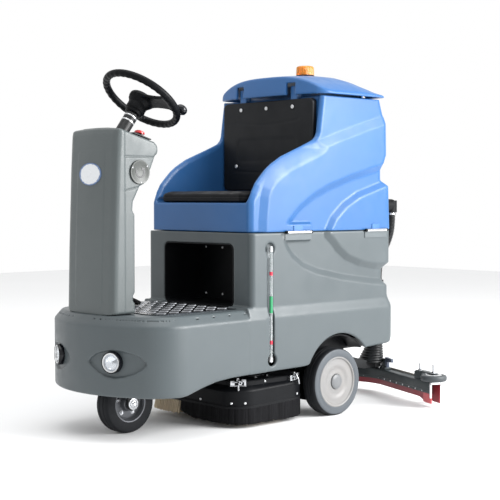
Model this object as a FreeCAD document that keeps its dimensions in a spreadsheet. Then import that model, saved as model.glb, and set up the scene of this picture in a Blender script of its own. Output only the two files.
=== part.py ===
"""Ride-on floor scrubber: steered front drive wheel, lifting two-disc brush deck, swinging squeegee,
grey solution tank with the battery well, and a blue recovery tank that tips sideways and carries the
seat and the lid.  Millimetres, +Z up, -Y is the front, +X is the driver's left, origin on the floor."""
import FreeCAD, Part
import math
import os
import re

os.makedirs("parts", exist_ok=True)
doc = FreeCAD.newDocument("FloorScrubber")
Vector = FreeCAD.Vector
Rotation = FreeCAD.Rotation

DIMENSIONS = dict(
    # grey lower body
    BodyHalf=320, SkirtHalf=333, BodyFront=-269, BodyRear=564, BodyCorner=38,
    Seam=768, GreyTop=766, SkirtBottom=222, RearSkirtBottom=274, RearSkirtStart=400,
    ShoulderLow=436, Deckline=470, ShoulderInset=13, Wall=8, FloorLow=342, FloorHigh=350,
    ArchRadius=200, RecessHalf=212, RecessLow=473, RecessHigh=722, RecessCorner=25, RecessBack=-75,
    GaugeY=-170, GaugeHalf=9, GaugeLow=258, GaugeHigh=716, GaugeFloor=316, GaugePocket=20, GaugeTube=6,
    # front moulding
    BumperFront=-858, BumperHalf=355, BumperCorner=170, BumperArc=500, BumperBottom=175,
    BumperInset=32, BumperShoulder=34, LampX=168, LampZ=303, LampRadius=40, LampDepth=24, LampBore=34,
    SlotHalf=45, SlotFront=-770, SlotRear=-590,
    # platform and pedal
    PlateHalf=255, PlateFront=-690, PlateRear=-272, PlateThick=3,
    PedalLow=-190, PedalHigh=-115, PedalPivotY=-478, PedalPivotZ=484, PedalLength=135, PedalThick=8,
    PedalTilt=22,
    # battery bay
    BoxHalf=235, BoxFront=-60, BoxRear=500, BoxTop=740, BoxWall=6,
    BatteryWide=218, BatteryLong=258, BatteryHigh=275, BatteryGap=4,
    # steel frame
    RailInner=205, RailOuter=235, RailLow=262, RailHigh=302, RailFront=-520, RailRear=545,
    BeamWidth=30, HeadPlateHalf=150, HeadPlateFront=-790, HeadPlateThick=10, PostHalf=12, PostX=130,
    AxleHalfBlock=20, AxleBlockLow=118, LugInner=30, LugOuter=42, PivotY=470, PivotZ=200, PivotPin=8,
    ActuatorY=-20, ActuatorPlateHalf=26, ActuatorPlateThick=6, ActuatorTube=22, ActuatorFlange=34,
    ActuatorLow=236, ActuatorHigh=338, RodRadius=8,
    # wheels
    WheelRadius=140, TyreWidth=75, TyreWall=35, AxleY=225, WheelInner=241, AxleRadius=12, AxleHalf=298,
    SteerY=-640, DriveRadius=115, DriveHalf=35, DriveRim=72, LegInner=41, LegOuter=51, KingPin=25,
    CrownLow=236, CrownHigh=248, CrownHalf=48, LegHalf=20, DriveAxle=10,
    # steering
    ColumnTilt=36.8, RimY=-554, RimZ=1285, RimRadius=153, RimTube=14.5, HubTop=12, HubBottom=-75,
    HubRadius=50, NeckRadius=38, SpokeWide=62, SpokeThick=13, ShaftRadius=9, ShaftEnd=-296, JacketRadius=26, JacketTop=-80, JacketEnd=-235,
    LowerShaftY=-735, LowerShaftTop=1034, LowerShaftEnd=292, SmallSprocket=22, LargeSprocket=44,
    ChainLow=319, ChainHigh=329, ChainThick=5, KnobAngle=52,
    # steering pod
    PodHalf=150, PodWall=6, PodFrontLow=-814, PodFrontHigh=-791, PodRear=-588, PodRearTop=1115,
    PanelHalf=128, PanelThick=4, PanelY=-650, PanelReach=42, PanelSlope=15.8,
    BadgeZ=992, BadgeWide=68, BadgeHigh=42, BadgeThick=4,
    SidePlateY=-682, SidePlateZ=999, SidePlateRadius=45,
    # brush deck
    DeckHalf=285, DeckFront=-310, DeckRear=118, DeckCorner=98, DeckRearCorner=140, DeckTop=165,
    DeckLip=92, DeckBottom=16, DeckWall=6, CoreInset=18, CoreTop=186, SkirtThick=10, SkirtGapEnd=-60,
    BrushX=140, BrushY=-118, BrushRadius=132, BrushTop=66, BristleTop=50, BristleEnd=15, BristleInner=62,
    MotorRadius=52, MotorTop=272,
    # squeegee
    SweepApex=848.8, SweepSlope=22, SweepBend=227, SweepTip=496, HeadHalf=27, HeadTop=112, HeadRoof=104,
    HeadLow=64, BladeThick=4.6, BladeGap=0.3, BladeLow=40, BladeTipLow=22, BladeTipStart=400,
    NozzleY=831, NozzleRadius=27, NozzleBore=22.5, NozzleNeck=22, NozzleNeckBore=18, NozzleTop=170,
    RingRadius=42, RingLow=118, RingHigh=142, RollerX=472, RollerY=665, RollerRadius=57, RollerLow=115,
    RollerHigh=142, RollerPin=6, PostInner=352, PostOuter=392, PostFront=680, PostRear=712,
    CasterX=432, CasterY=758, CasterRadius=24, CasterHalf=9, CasterZ=60, CasterDropY=708,
    # blue recovery tank
    TankFront=-262, ArmInner=280, SeatLevel=884, SeatBack=146, TankTop=1322, TankWall=12, ShelfZ=1140,
    HingeX=327, HingeZ=767, HingeRadius=6, HingePin=3, LeafThick=3, LeafHigh=24,
    CushionHalf=272, CushionFront=-266, CushionRear=106, CushionTop=930, CushionCorner=22,
    BackHalf=274, BackFront=112, BackRear=145.5, BackLow=934, BackHigh=1316,
    # lid and beacon
    LidHalf=324, LidFront=95, LidRear=526, LidLow=1324, LidEdge=1338, LidTop=1426, LidTopHalf=190,
    LidTopFront=165, LidTopRear=400, LidWall=8, LidPivotY=534, LidPivotZ=1330, LidPin=4, LidLugInner=192, LidLugOuter=204,
    BeaconY=353, BeaconRadius=40, BeaconBaseHigh=12, BeaconHigh=46,
    # suction hose
    HoseRadius=22, ElbowX=250, ElbowZ=870, ElbowY=636, ElbowLow=840, CuffX=212, CuffY=592, CuffLow=492,
    CuffHigh=543, CuffRadius=28,
)

sheet = doc.addObject("Spreadsheet::Sheet", "Dims")
for row, (word, number) in enumerate(DIMENSIONS.items(), start=1):
    sheet.set("A%d" % row, word)
    sheet.set("B%d" % row, str(number))
    sheet.setAlias("B%d" % row, word)
doc.recompute()


class Size:
    """The driving dimensions by name, for outlines that are worked out in this script."""


d = Size()
for word in DIMENSIONS:
    setattr(d, word, float(getattr(sheet, word)))

nodes = []


def expression(text):
    """An expression over the sheet, from text that names its cells as bare words."""
    return re.sub(r"[A-Z][A-Za-z]+", lambda word: "Dims." + word.group(0), str(text))


def bind(thing, **sizes):
    """Bind each named size of an object to the sheet."""
    for name, text in sizes.items():
        thing.setExpression(name, expression(text))
    return thing


def bind_place(thing, place, rotation=None):
    """Bind an object's position to three expressions and turn it."""
    if rotation is not None:
        thing.Placement = FreeCAD.Placement(Vector(0, 0, 0), rotation)
    for letter, text in zip("xyz", place):
        thing.setExpression(".Placement.Base." + letter, expression(text))
    return thing


def node(thing, label):
    """Name a finished piece: its label is the name of its node."""
    thing.Label = label
    nodes.append(thing)
    return thing


# ---------------------------------------------------------------- outlines

def rounded(corners):
    """Closed outline through corners (x, y) or (x, y, radius), with tangent arcs at the radii."""
    count = len(corners)
    ends = []
    for index, corner in enumerate(corners):
        here = Vector(corner[0], corner[1], 0)
        radius = corner[2] if len(corner) > 2 else 0
        before = corners[index - 1]
        after = corners[(index + 1) % count]
        toward = (Vector(before[0], before[1], 0) - here).normalize()
        away = (Vector(after[0], after[1], 0) - here).normalize()
        if radius:
            half = toward.getAngle(away) / 2
            reach = radius / math.tan(half)
            middle = here + (toward + away).normalize() * (radius / math.sin(half) - radius)
            ends.append((here + toward * reach, middle, here + away * reach))
        else:
            ends.append((here, None, here))
    shapes = []
    for index, (start, middle, end) in enumerate(ends):
        if middle is not None:
            shapes.append(Part.Arc(start, middle, end))
        follow = ends[(index + 1) % count][0]
        if (follow - end).Length > 1e-6:
            shapes.append(Part.LineSegment(end, follow))
    return shapes


def rectangle(low_x, high_x, low_y, high_y, radius=0):
    """Outline of a rectangle with equal corners."""
    return rounded([(low_x, low_y, radius), (high_x, low_y, radius),
                    (high_x, high_y, radius), (low_x, high_y, radius)])


def bumper_outline(offset, rear):
    """D-shaped plan of the front moulding: a wide front arc, two corner arcs and straight sides."""
    front_centre = d.BumperFront + d.BumperArc
    corner_x = d.BumperHalf - d.BumperCorner
    reach = d.BumperArc - d.BumperCorner
    corner_y = front_centre - math.sqrt(reach ** 2 - corner_x ** 2)
    large = d.BumperArc - offset
    small = d.BumperCorner - offset
    side = d.BumperHalf - offset
    rear_side = d.SkirtHalf - offset
    joint = Vector(corner_x, corner_y - front_centre, 0).normalize()
    touch = Vector(0, front_centre, 0) + joint * large
    bend = Vector(corner_x, corner_y, 0) + (joint + Vector(1, 0, 0)).normalize() * small

    def mirror(point):
        return Vector(-point.x, point.y, 0)
    widest = Vector(side, corner_y, 0)
    corner = Vector(rear_side, rear, 0)
    return [Part.Arc(mirror(touch), Vector(0, front_centre - large, 0), touch),
            Part.Arc(touch, bend, widest), Part.LineSegment(widest, corner),
            Part.LineSegment(corner, mirror(corner)), Part.LineSegment(mirror(corner), mirror(widest)),
            Part.Arc(mirror(widest), mirror(bend), mirror(touch))]


def loop_outline(first, second, small, large):
    """Outline of a belt or chain round two circles on the Y axis, the small one further forward."""
    lean = math.asin((large - small) / abs(second - first))
    side = Vector(math.cos(lean), -math.sin(lean), 0)

    def mirror(point):
        return Vector(-point.x, point.y, 0)
    near = Vector(0, first, 0) + side * small
    far = Vector(0, second, 0) + side * large
    return [Part.Arc(mirror(near), Vector(0, first - small, 0), near), Part.LineSegment(near, far),
            Part.Arc(far, Vector(0, second + large, 0), mirror(far)),
            Part.LineSegment(mirror(far), mirror(near))]


# ---------------------------------------------------------------- building blocks

def sketch_on(body, role, outlines, offset=0):
    """A sketch on one of the body's own origin planes that holds the given outlines."""
    plane = [part for part in body.Origin.OriginFeatures if part.Role == role][0]
    sketch = body.newObject("Sketcher::SketchObject", "Sketch")
    sketch.AttachmentSupport = [(plane, "")]
    sketch.MapMode = "FlatFace"
    sketch.AttachmentOffset = FreeCAD.Placement(Vector(0, 0, offset), Rotation())
    for outline in outlines:
        for shape in outline:
            sketch.addGeometry(shape, False)
    return sketch


def pad(name, role, outlines, low, high):
    """A body padded along its plane's normal axis from low to high, both expressions."""
    body = doc.addObject("PartDesign::Body", name)
    sketch = sketch_on(body, role, outlines)
    feature = body.newObject("PartDesign::Pad", "Pad")
    feature.Profile = sketch
    bind(feature, Length="(%s) - (%s)" % (high, low))
    if role == "XZ_Plane":
        feature.Reversed = True
    place = {"YZ_Plane": (low, "0", "0"), "XZ_Plane": ("0", low, "0"), "XY_Plane": ("0", "0", low)}[role]
    return bind_place(body, place)


def turned(name, outline, place, rotation=None):
    """A body of revolution: the outline is (radius, height), turned about its own upright axis."""
    body = doc.addObject("PartDesign::Body", name)
    sketch = sketch_on(body, "XZ_Plane", [outline])
    feature = body.newObject("PartDesign::Revolution", "Revolution")
    feature.Profile = sketch
    feature.ReferenceAxis = (sketch, ["V_Axis"])
    feature.Angle = 360
    return bind_place(body, place, rotation)


def dress(body, kind, size, chosen):
    """Fillet or chamfer the edges of the body's last feature that the test chooses."""
    doc.recompute()
    base = body.Tip
    names = ["Edge%d" % (index + 1) for index, edge in enumerate(base.Shape.Edges) if chosen(edge)]
    feature = body.newObject("PartDesign::" + kind, kind)
    feature.Base = (base, names)
    if kind == "Fillet":
        feature.Radius = size
    elif isinstance(size, tuple):
        feature.ChamferType = "Two distances"
        feature.Size, feature.Size2 = size
    else:
        feature.Size = size
    return body


def box(name, x, y, z):
    """A box between low and high expressions along each axis."""
    thing = doc.addObject("Part::Box", name)
    bind(thing, Length="(%s) - (%s)" % (x[1], x[0]), Width="(%s) - (%s)" % (y[1], y[0]),
         Height="(%s) - (%s)" % (z[1], z[0]))
    return bind_place(thing, (x[0], y[0], z[0]))


TURN = {"X": Rotation(Vector(0, 1, 0), 90), "Y": Rotation(Vector(1, 0, 0), -90), "Z": Rotation()}


def cylinder(name, radius, length, place, axis="Z"):
    """A cylinder that starts at a place and runs along an axis."""
    thing = doc.addObject("Part::Cylinder", name)
    bind(thing, Radius=radius, Height=length)
    rotation = TURN[axis] if isinstance(axis, str) else axis
    return bind_place(thing, place, rotation)


def cut(name, base, *tools):
    """The base less every tool."""
    tool = tools[0] if len(tools) == 1 else fuse(name + "Tools", *tools)
    thing = doc.addObject("Part::Cut", name)
    thing.Base = base
    thing.Tool = tool
    return thing


def fuse(name, *pieces):
    """Several shapes joined into one."""
    thing = doc.addObject("Part::MultiFuse", name)
    thing.Shapes = list(pieces)
    return thing


def group(name, pieces):
    """Separate solids kept together."""
    thing = doc.addObject("Part::Compound", name)
    thing.Links = list(pieces)
    return thing


def both_sides(maker):
    """Call a maker for the left side (+1) and the right side (-1)."""
    return [maker(side) for side in (1, -1)]


def span(side, inner, outer):
    """Low and high expressions along X for a piece between two distances on one side."""
    return (inner, outer) if side > 0 else ("-(%s)" % outer, "-(%s)" % inner)


def level_at(height):
    """A test for edges that lie wholly at one height."""
    def test(edge):
        return abs(edge.BoundBox.ZMin - height) < 1e-4 and abs(edge.BoundBox.ZMax - height) < 1e-4
    return test


# ---------------------------------------------------------------- steel frame and axle

def chassis_frame():
    """Two rails with cross beams, the steering head plate, axle blocks, squeegee lugs and posts."""
    level = ("RailLow", "RailHigh")
    steel = both_sides(lambda side: box("Rail", span(side, "RailInner", "RailOuter"),
                                        ("RailFront", "RailRear"), level))
    for start in ("RailFront", "RailRear - BeamWidth", "PivotY - AxleHalfBlock"):
        steel.append(box("Beam", ("-RailOuter", "RailOuter"), (start, start + " + BeamWidth"), level))
    steel.append(box("HeadPlate", ("-HeadPlateHalf", "HeadPlateHalf"),
                     ("HeadPlateFront", "RailFront + BeamWidth"),
                     ("RailHigh - 2", "RailHigh - 2 + HeadPlateThick")))
    steel.append(box("ActuatorBeam", ("-RailOuter", "RailOuter"),
                     ("ActuatorY - ActuatorPlateHalf", "ActuatorY + ActuatorPlateHalf"),
                     ("RailHigh", "RailHigh + ActuatorPlateThick")))
    for side in (1, -1):
        steel.append(box("Post", span(side, "PostX - PostHalf", "PostX + PostHalf"),
                         ("RailFront", "RailFront + 2 * PostHalf"), ("RailHigh", "Deckline - Wall")))
        steel.append(box("AxleBlock", span(side, "RailInner", "RailOuter"),
                         ("AxleY - AxleHalfBlock", "AxleY + AxleHalfBlock"), ("AxleBlockLow", "RailHigh")))
        steel.append(box("Lug", span(side, "LugInner", "LugOuter"),
                         ("PivotY - AxleHalfBlock", "PivotY + AxleHalfBlock"),
                         ("PivotZ - AxleHalfBlock", "RailHigh")))
        for start in ("BodyFront + AxleHalfBlock", "PivotY"):
            steel.append(box("Spacer", span(side, "RailInner", "RailOuter"),
                             (start, start + " + BeamWidth"), ("RailHigh", "FloorLow")))
    holes = [cylinder("AxleHole", "AxleRadius", "2 * BodyHalf", ("-BodyHalf", "AxleY", "WheelRadius"), "X"),
             cylinder("PivotHole", "PivotPin + 0.1", "4 * LugOuter", ("-2 * LugOuter", "PivotY", "PivotZ"),
                      "X"),
             cylinder("KingHole", "KingPin + 0.1", "BeamWidth", ("0", "SteerY", "RailHigh - 10"), "Z"),
             cylinder("LowerShaftHole", "ShaftRadius + 1.1", "BeamWidth",
                      ("0", "LowerShaftY", "RailHigh - 10"), "Z"),
             cylinder("ActuatorHole", "ActuatorTube", "BeamWidth",
                      ("0", "ActuatorY", "RailHigh - 10"), "Z")]
    node(cut("ChassisFrame", fuse("FrameSteel", *steel), *holes), "chassis_frame")
    node(cylinder("RearAxle", "AxleRadius", "2 * AxleHalf", ("-AxleHalf", "AxleY", "WheelRadius"), "X"),
         "rear_axle")


# ---------------------------------------------------------------- grey mouldings

def solution_tank():
    """Lower moulding: battery well open at the top, brush bay open below, foot recess and arches."""
    upper = pad("TankUpper", "XY_Plane",
                [rectangle(-d.BodyHalf, d.BodyHalf, d.BodyFront, d.BodyRear, d.BodyCorner)],
                "ShoulderLow", "GreyTop")
    lower = pad("TankLower", "XY_Plane",
                [rounded([(-d.SkirtHalf, d.BodyFront), (d.SkirtHalf, d.BodyFront),
                          (d.SkirtHalf, d.BodyRear, d.BodyCorner), (-d.SkirtHalf, d.BodyRear, d.BodyCorner)])],
                "SkirtBottom", "Deckline")
    rise = d.Deckline - d.SkirtBottom

    def shoulder(edge):
        bounds = edge.BoundBox
        return abs(bounds.ZMin - rise) < 1e-4 and bounds.YLength > 100
    dress(lower, "Chamfer", d.ShoulderInset, shoulder)
    shell = fuse("TankShell", upper, lower)
    inner = d.BodyHalf - d.Wall
    well = pad("Well", "XY_Plane",
               [rectangle(-inner, inner, d.BodyFront + d.Wall, d.BodyRear - d.Wall, d.BodyCorner - d.Wall)],
               "FloorHigh", "Seam + Wall")
    bay = box("Bay", ("Wall - SkirtHalf", "SkirtHalf - Wall"), ("BodyFront - Wall", "BodyRear - Wall"),
              ("BumperBottom", "FloorLow"))
    arch = cylinder("Arch", "ArchRadius", "2 * SkirtHalf + 20",
                    ("-SkirtHalf - 10", "AxleY", "WheelRadius"), "X")
    tail = box("Tail", ("-SkirtHalf - 10", "SkirtHalf + 10"), ("RearSkirtStart", "BodyRear + 10"),
               ("BumperBottom", "RearSkirtBottom"))
    recess = pad("FootRecess", "XZ_Plane",
                 [rectangle(-d.RecessHalf, d.RecessHalf, d.RecessLow, d.RecessHigh, d.RecessCorner)],
                 "BodyFront - 20", "BodyFront + 2 * Wall")
    channel = box("GaugeChannel", ("GaugeFloor", "SkirtHalf + 10"),
                  ("GaugeY - GaugeHalf - 6", "GaugeY + GaugeHalf + 6"), ("GaugeLow", "GaugeHigh"))
    node(cut("SolutionTank", shell, well, bay, arch, tail, recess, channel), "solution_tank")


def gauge():
    """Sight tube in its channel on the left side, with a fitting at each end."""
    tube = cylinder("GaugeTubePipe", "GaugeTube", "GaugeHigh - GaugeLow - 24",
                    ("GaugeFloor + GaugeTube + 1", "GaugeY", "GaugeLow + 12"))
    ends = [cylinder("GaugeFitting", "GaugeTube + 2", "14",
                     ("GaugeFloor + GaugeTube + 2", "GaugeY", height))
            for height in ("GaugeLow + 1", "GaugeHigh - 15")]
    node(fuse("LevelTube", tube, *ends), "level_tube")


# the front moulding's rising lower edge: place, height and corner radius
LOWER_EDGE = ((-560, 196, 120), (-470, 216, 200))


def front_bumper():
    """D-shaped front moulding with a flat top, a sloped shoulder, lamp bores and a wavy lower edge."""
    outer = pad("BumperOuter", "XY_Plane", [bumper_outline(0, d.BodyFront)], "BumperBottom", "Deckline")
    rise = d.Deckline - d.BumperBottom

    def shoulder(edge):
        bounds = edge.BoundBox
        return abs(bounds.ZMin - rise) < 1e-4 and bounds.YMin < d.BodyFront - 1
    dress(outer, "Chamfer", d.BumperInset, shoulder)
    inner = pad("BumperInner", "XY_Plane", [bumper_outline(d.Wall, d.BodyFront + 20)],
                "BumperBottom - 20", "ShoulderLow - Wall")
    roof = pad("BumperRoof", "XY_Plane", [bumper_outline(d.BumperInset + d.Wall, d.BodyFront + 20)],
               "ShoulderLow - Wall - 1", "Deckline - Wall")
    wave = pad("Wave", "YZ_Plane",
               [rounded([(-700, 100), (-640, d.BumperBottom, 60), *LOWER_EDGE,
                         (-380, d.SkirtBottom, 200), (-250, d.SkirtBottom), (-250, 100)])],
               "-BumperHalf - 10", "BumperHalf + 10")
    slot = box("ColumnSlot", ("-SlotHalf", "SlotHalf"), ("SlotFront", "SlotRear"),
               ("ShoulderLow", "Deckline + 10"))
    bores = both_sides(lambda side: cylinder("LampBore", "LampBore", "60", lamp_place(side, 30),
                                             lamp_turn(side)))
    node(cut("FrontBumper", outer, inner, roof, wave, slot, *bores), "front_bumper")


def lamp_normal(side):
    """Outward direction of the front arc at a headlight."""
    front_centre = d.BumperFront + d.BumperArc
    lift = -math.sqrt(d.BumperArc ** 2 - d.LampX ** 2)
    return Vector(side * d.LampX, lift, 0).normalize(), front_centre


def lamp_turn(side):
    """Rotation from upright to pointing inward along a headlight's axis."""
    outward, _ = lamp_normal(side)
    return Rotation(Vector(0, 0, 1), outward * -1)


def lamp_place(side, proud):
    """A place on a headlight's axis, so far outside the moulding."""
    outward, front_centre = lamp_normal(side)
    point = Vector(0, front_centre, 0) + outward * (d.BumperArc + proud)
    return ("%.4f" % point.x, "%.4f" % point.y, "LampZ")


def headlights():
    """Round bezels let into the front moulding, with domed lenses."""
    ring = [(27, 0), (d.LampRadius, 0, 2), (d.LampRadius, 5), (33.8, 5), (33.8, d.LampDepth), (27, d.LampDepth)]
    dome = [(0, 3), (14, 4, 20), (26.8, 10), (26.8, 16), (0, 16)]
    bezels = both_sides(lambda side: turned("Bezel", rounded(ring), lamp_place(side, 5), lamp_turn(side)))
    lenses = both_sides(lambda side: turned("Lens", rounded(dome), lamp_place(side, 5), lamp_turn(side)))
    node(group("HeadlightBezels", bezels), "headlight_bezels")
    node(group("HeadlightLenses", lenses), "headlight_lenses")


def battery_bay():
    """Open battery box on the tank's floor, and four batteries in it."""
    outer = box("BoxOuter", ("-BoxHalf", "BoxHalf"), ("BoxFront", "BoxRear"), ("FloorHigh", "BoxTop"))
    inner = box("BoxInner", ("BoxWall - BoxHalf", "BoxHalf - BoxWall"),
                ("BoxFront + BoxWall", "BoxRear - BoxWall"), ("FloorHigh + BoxWall", "BoxTop + BoxWall"))
    node(cut("BatteryBox", outer, inner), "battery_box")
    blocks = []
    for side in (1, -1):
        for start in ("BoxFront + 2 * BoxWall", "BoxFront + 2 * BoxWall + BatteryLong + BatteryGap"):
            blocks.append(box("Battery", span(side, "BatteryGap", "BatteryGap + BatteryWide"),
                              (start, start + " + BatteryLong"),
                              ("FloorHigh + BoxWall", "FloorHigh + BoxWall + BatteryHigh")))
    node(group("BatteryPack", blocks), "battery_pack")


def leg_recess_liner():
    """Black liner of the foot recess, open to the front."""
    outer = pad("LinerOuter", "XZ_Plane",
                [rectangle(0.5 - d.RecessHalf, d.RecessHalf - 0.5, d.RecessLow + 0.5, d.RecessHigh - 0.5,
                           d.RecessCorner)], "BodyFront + 1", "RecessBack")
    inner = pad("LinerInner", "XZ_Plane",
                [rectangle(4 - d.RecessHalf, d.RecessHalf - 4, d.RecessLow + 4, d.RecessHigh - 4,
                           d.RecessCorner - 4)], "BodyFront - 9", "RecessBack - 4")
    node(cut("LegRecessLiner", outer, inner), "leg_recess_liner")


def platform_plate():
    """Tread plate on the foot platform, cut away round the pod's foot."""
    inner = d.PodHalf + 6
    corners = [(-d.PlateHalf, d.PlateRear), (d.PlateHalf, d.PlateRear), (d.PlateHalf, d.PlateFront, 60),
               (inner, d.PlateFront), (inner, -685), (-inner, -685), (-inner, d.PlateFront),
               (-d.PlateHalf, d.PlateFront, 60)]
    node(pad("PlatformPlate", "XY_Plane", [rounded(corners)], "Deckline", "Deckline + PlateThick"),
         "platform_plate")


def accelerator_pedal():
    """Foot pedal that tips about its heel."""
    tilt = Rotation(Vector(1, 0, 0), -d.PedalTilt)
    plate = doc.addObject("Part::Box", "PedalPlate")
    bind(plate, Length="PedalHigh - PedalLow", Width="PedalLength", Height="PedalThick")
    lean = math.radians(d.PedalTilt)
    toe = Vector(0, -d.PedalLength * math.cos(lean), d.PedalLength * math.sin(lean))
    bind_place(plate, ("PedalLow", "PedalPivotY + %.4f" % toe.y, "PedalPivotZ + %.4f" % toe.z), tilt)
    barrel = cylinder("PedalBarrel", "PedalThick", "PedalHigh - PedalLow",
                      ("PedalLow", "PedalPivotY", "PedalPivotZ"), "X")
    node(fuse("AcceleratorPedal", plate, barrel), "accelerator_pedal")


# ---------------------------------------------------------------- steering pod and steering gear

def column_axis(distance):
    """Place on the steering axis, so far above the rim's centre."""
    lean = math.radians(d.ColumnTilt)
    return ("0", "RimY + %.4f" % (distance * math.sin(lean)), "RimZ + %.4f" % (distance * math.cos(lean)))


COLUMN_TURN = Rotation(Vector(1, 0, 0), -d.ColumnTilt)
PANEL_TURN = Rotation(Vector(1, 0, 0), -d.PanelSlope)


# the face towards the driver, from the foot up: place, height and corner radius
POD_REAR_FACE = ((-697, 830, 60), (-712, 880, 30), (-660, 950, 20), (-608, 1046, 12), (-580, 1062, 12))
POD_TOP_CORNER = 16
POD_BROW_CORNER = 26


def pod_top(y):
    """Height of the pod's sloping top at a place from front to rear."""
    return d.PodRearTop + (d.PodRear - y) * math.tan(math.radians(d.PanelSlope))


def pod_outline(inset):
    """Side profile of the pod, front edge first, drawn in by an inset; the inner one runs on below."""
    base = d.Deckline - (5 if inset else 0)
    rear_face = [(y - inset, z, radius) for y, z, radius in POD_REAR_FACE]
    brow, rear = d.PodFrontHigh + inset, d.PodRear - inset
    return rounded([(d.PodFrontLow + inset, base), (rear_face[0][0], base), *rear_face,
                    (rear, pod_top(rear) - inset, POD_TOP_CORNER),
                    (brow, pod_top(brow) - inset, POD_BROW_CORNER)])


def oval(name, half_wide, half_high, thick, place, rotation):
    """A flat oval plate that starts at a place and runs along its own upright axis."""
    outline = doc.addObject("Part::Ellipse", name + "Outline")
    bind(outline, MajorRadius=half_wide, MinorRadius=half_high)
    bind_place(outline, place, rotation)
    plate = doc.addObject("Part::Extrusion", name)
    plate.Base = outline
    plate.DirMode = "Normal"
    plate.Reversed = True
    plate.Solid = True
    return bind(plate, LengthFwd=thick)


def column_housing():
    """Grey pod that carries the steering column, hollow and open at the foot."""
    outer = pad("PodOuter", "YZ_Plane", [pod_outline(0)], "-PodHalf", "PodHalf")
    inner = pad("PodInner", "YZ_Plane", [pod_outline(d.PodWall)], "PodWall - PodHalf", "PodHalf - PodWall")
    bore = cylinder("JacketBore", "JacketRadius", "220", column_axis(-260), COLUMN_TURN)
    node(cut("ColumnHousing", outer, inner, bore), "column_housing")
    lean_back = d.PodFrontHigh - d.PodFrontLow
    front_high = pod_top(d.PodFrontHigh) - d.Deckline
    front_turn = Rotation(Vector(1, 0, 0), 90 - math.degrees(math.atan2(lean_back, front_high)))
    face = d.PodFrontLow + lean_back * (d.BadgeZ - d.Deckline) / front_high
    node(oval("BadgeDisc", "BadgeWide", "BadgeHigh", "BadgeThick", ("0", "%.4f" % face, "BadgeZ"), front_turn),
         "badge_disc")
    node(cylinder("SidePlate", "SidePlateRadius", "BadgeThick", ("PodHalf", "SidePlateY", "SidePlateZ"), "X"),
         "column_side_plate")


def panel_place(x, along, height):
    """Place on the pod's sloping top: sideways, down the slope towards the driver, and above it."""
    slope = math.radians(d.PanelSlope)
    y = along * math.cos(slope) + height * math.sin(slope)
    z = pod_top(d.PanelY) - along * math.sin(slope) + height * math.cos(slope)
    return (str(x), "PanelY + %.4f" % y, "%.4f" % z)


# sideways place, place down the slope and collar height of the emergency stop and the horn button
STALKS = ((84, 14, 11), (-60, 20, 8))
KEY_PLACE = (-98, 14)


def controls():
    """Control panel on the pod's top with its key switch, horn button and emergency stop."""
    plate = doc.addObject("Part::Box", "PanelPlate")
    bind(plate, Length="2 * PanelHalf", Width="2 * PanelReach", Height="PanelThick")
    bind_place(plate, panel_place("-PanelHalf", -d.PanelReach, 0), PANEL_TURN)
    collars = [turned("Collar", rounded([(9.5, 3), (15, 3), (14, height), (9.5, height)]),
                      panel_place(x, along, 0), PANEL_TURN) for x, along, height in STALKS]
    bore = cylinder("PanelBore", "JacketRadius + 1", "200", column_axis(-240), COLUMN_TURN)
    node(cut("ControlPanel", fuse("PanelSolid", plate, *collars), bore), "control_panel")
    mushroom = [(0, 9.5), (9, 9.5), (9, 16), (20, 16, 2), (20, 24, 4), (10, 30, 20), (0, 31)]
    node(turned("EmergencyStop", rounded(mushroom), panel_place(*STALKS[0][:2], 0), PANEL_TURN), "emergency_stop")
    button = [(0, 7.6), (9, 7.6), (9, 13, 2), (0, 13)]
    node(turned("HornButton", rounded(button), panel_place(*STALKS[1][:2], 0), PANEL_TURN), "horn_button")
    key_x, key_along = KEY_PLACE
    barrel = cylinder("KeyBarrel", "9", "7", panel_place(key_x, key_along, d.PanelThick + 0.3), PANEL_TURN)
    blade = doc.addObject("Part::Box", "KeyBlade")
    blade.Length, blade.Width, blade.Height = 3, 20, 24
    bind_place(blade, panel_place(key_x - 1.5, key_along - 10, d.PanelThick + 7.3), PANEL_TURN)
    node(fuse("IgnitionKey", barrel, blade), "ignition_key")


SPOKE_ANGLES = (12, 146)
SPOKE_START = 30


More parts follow.
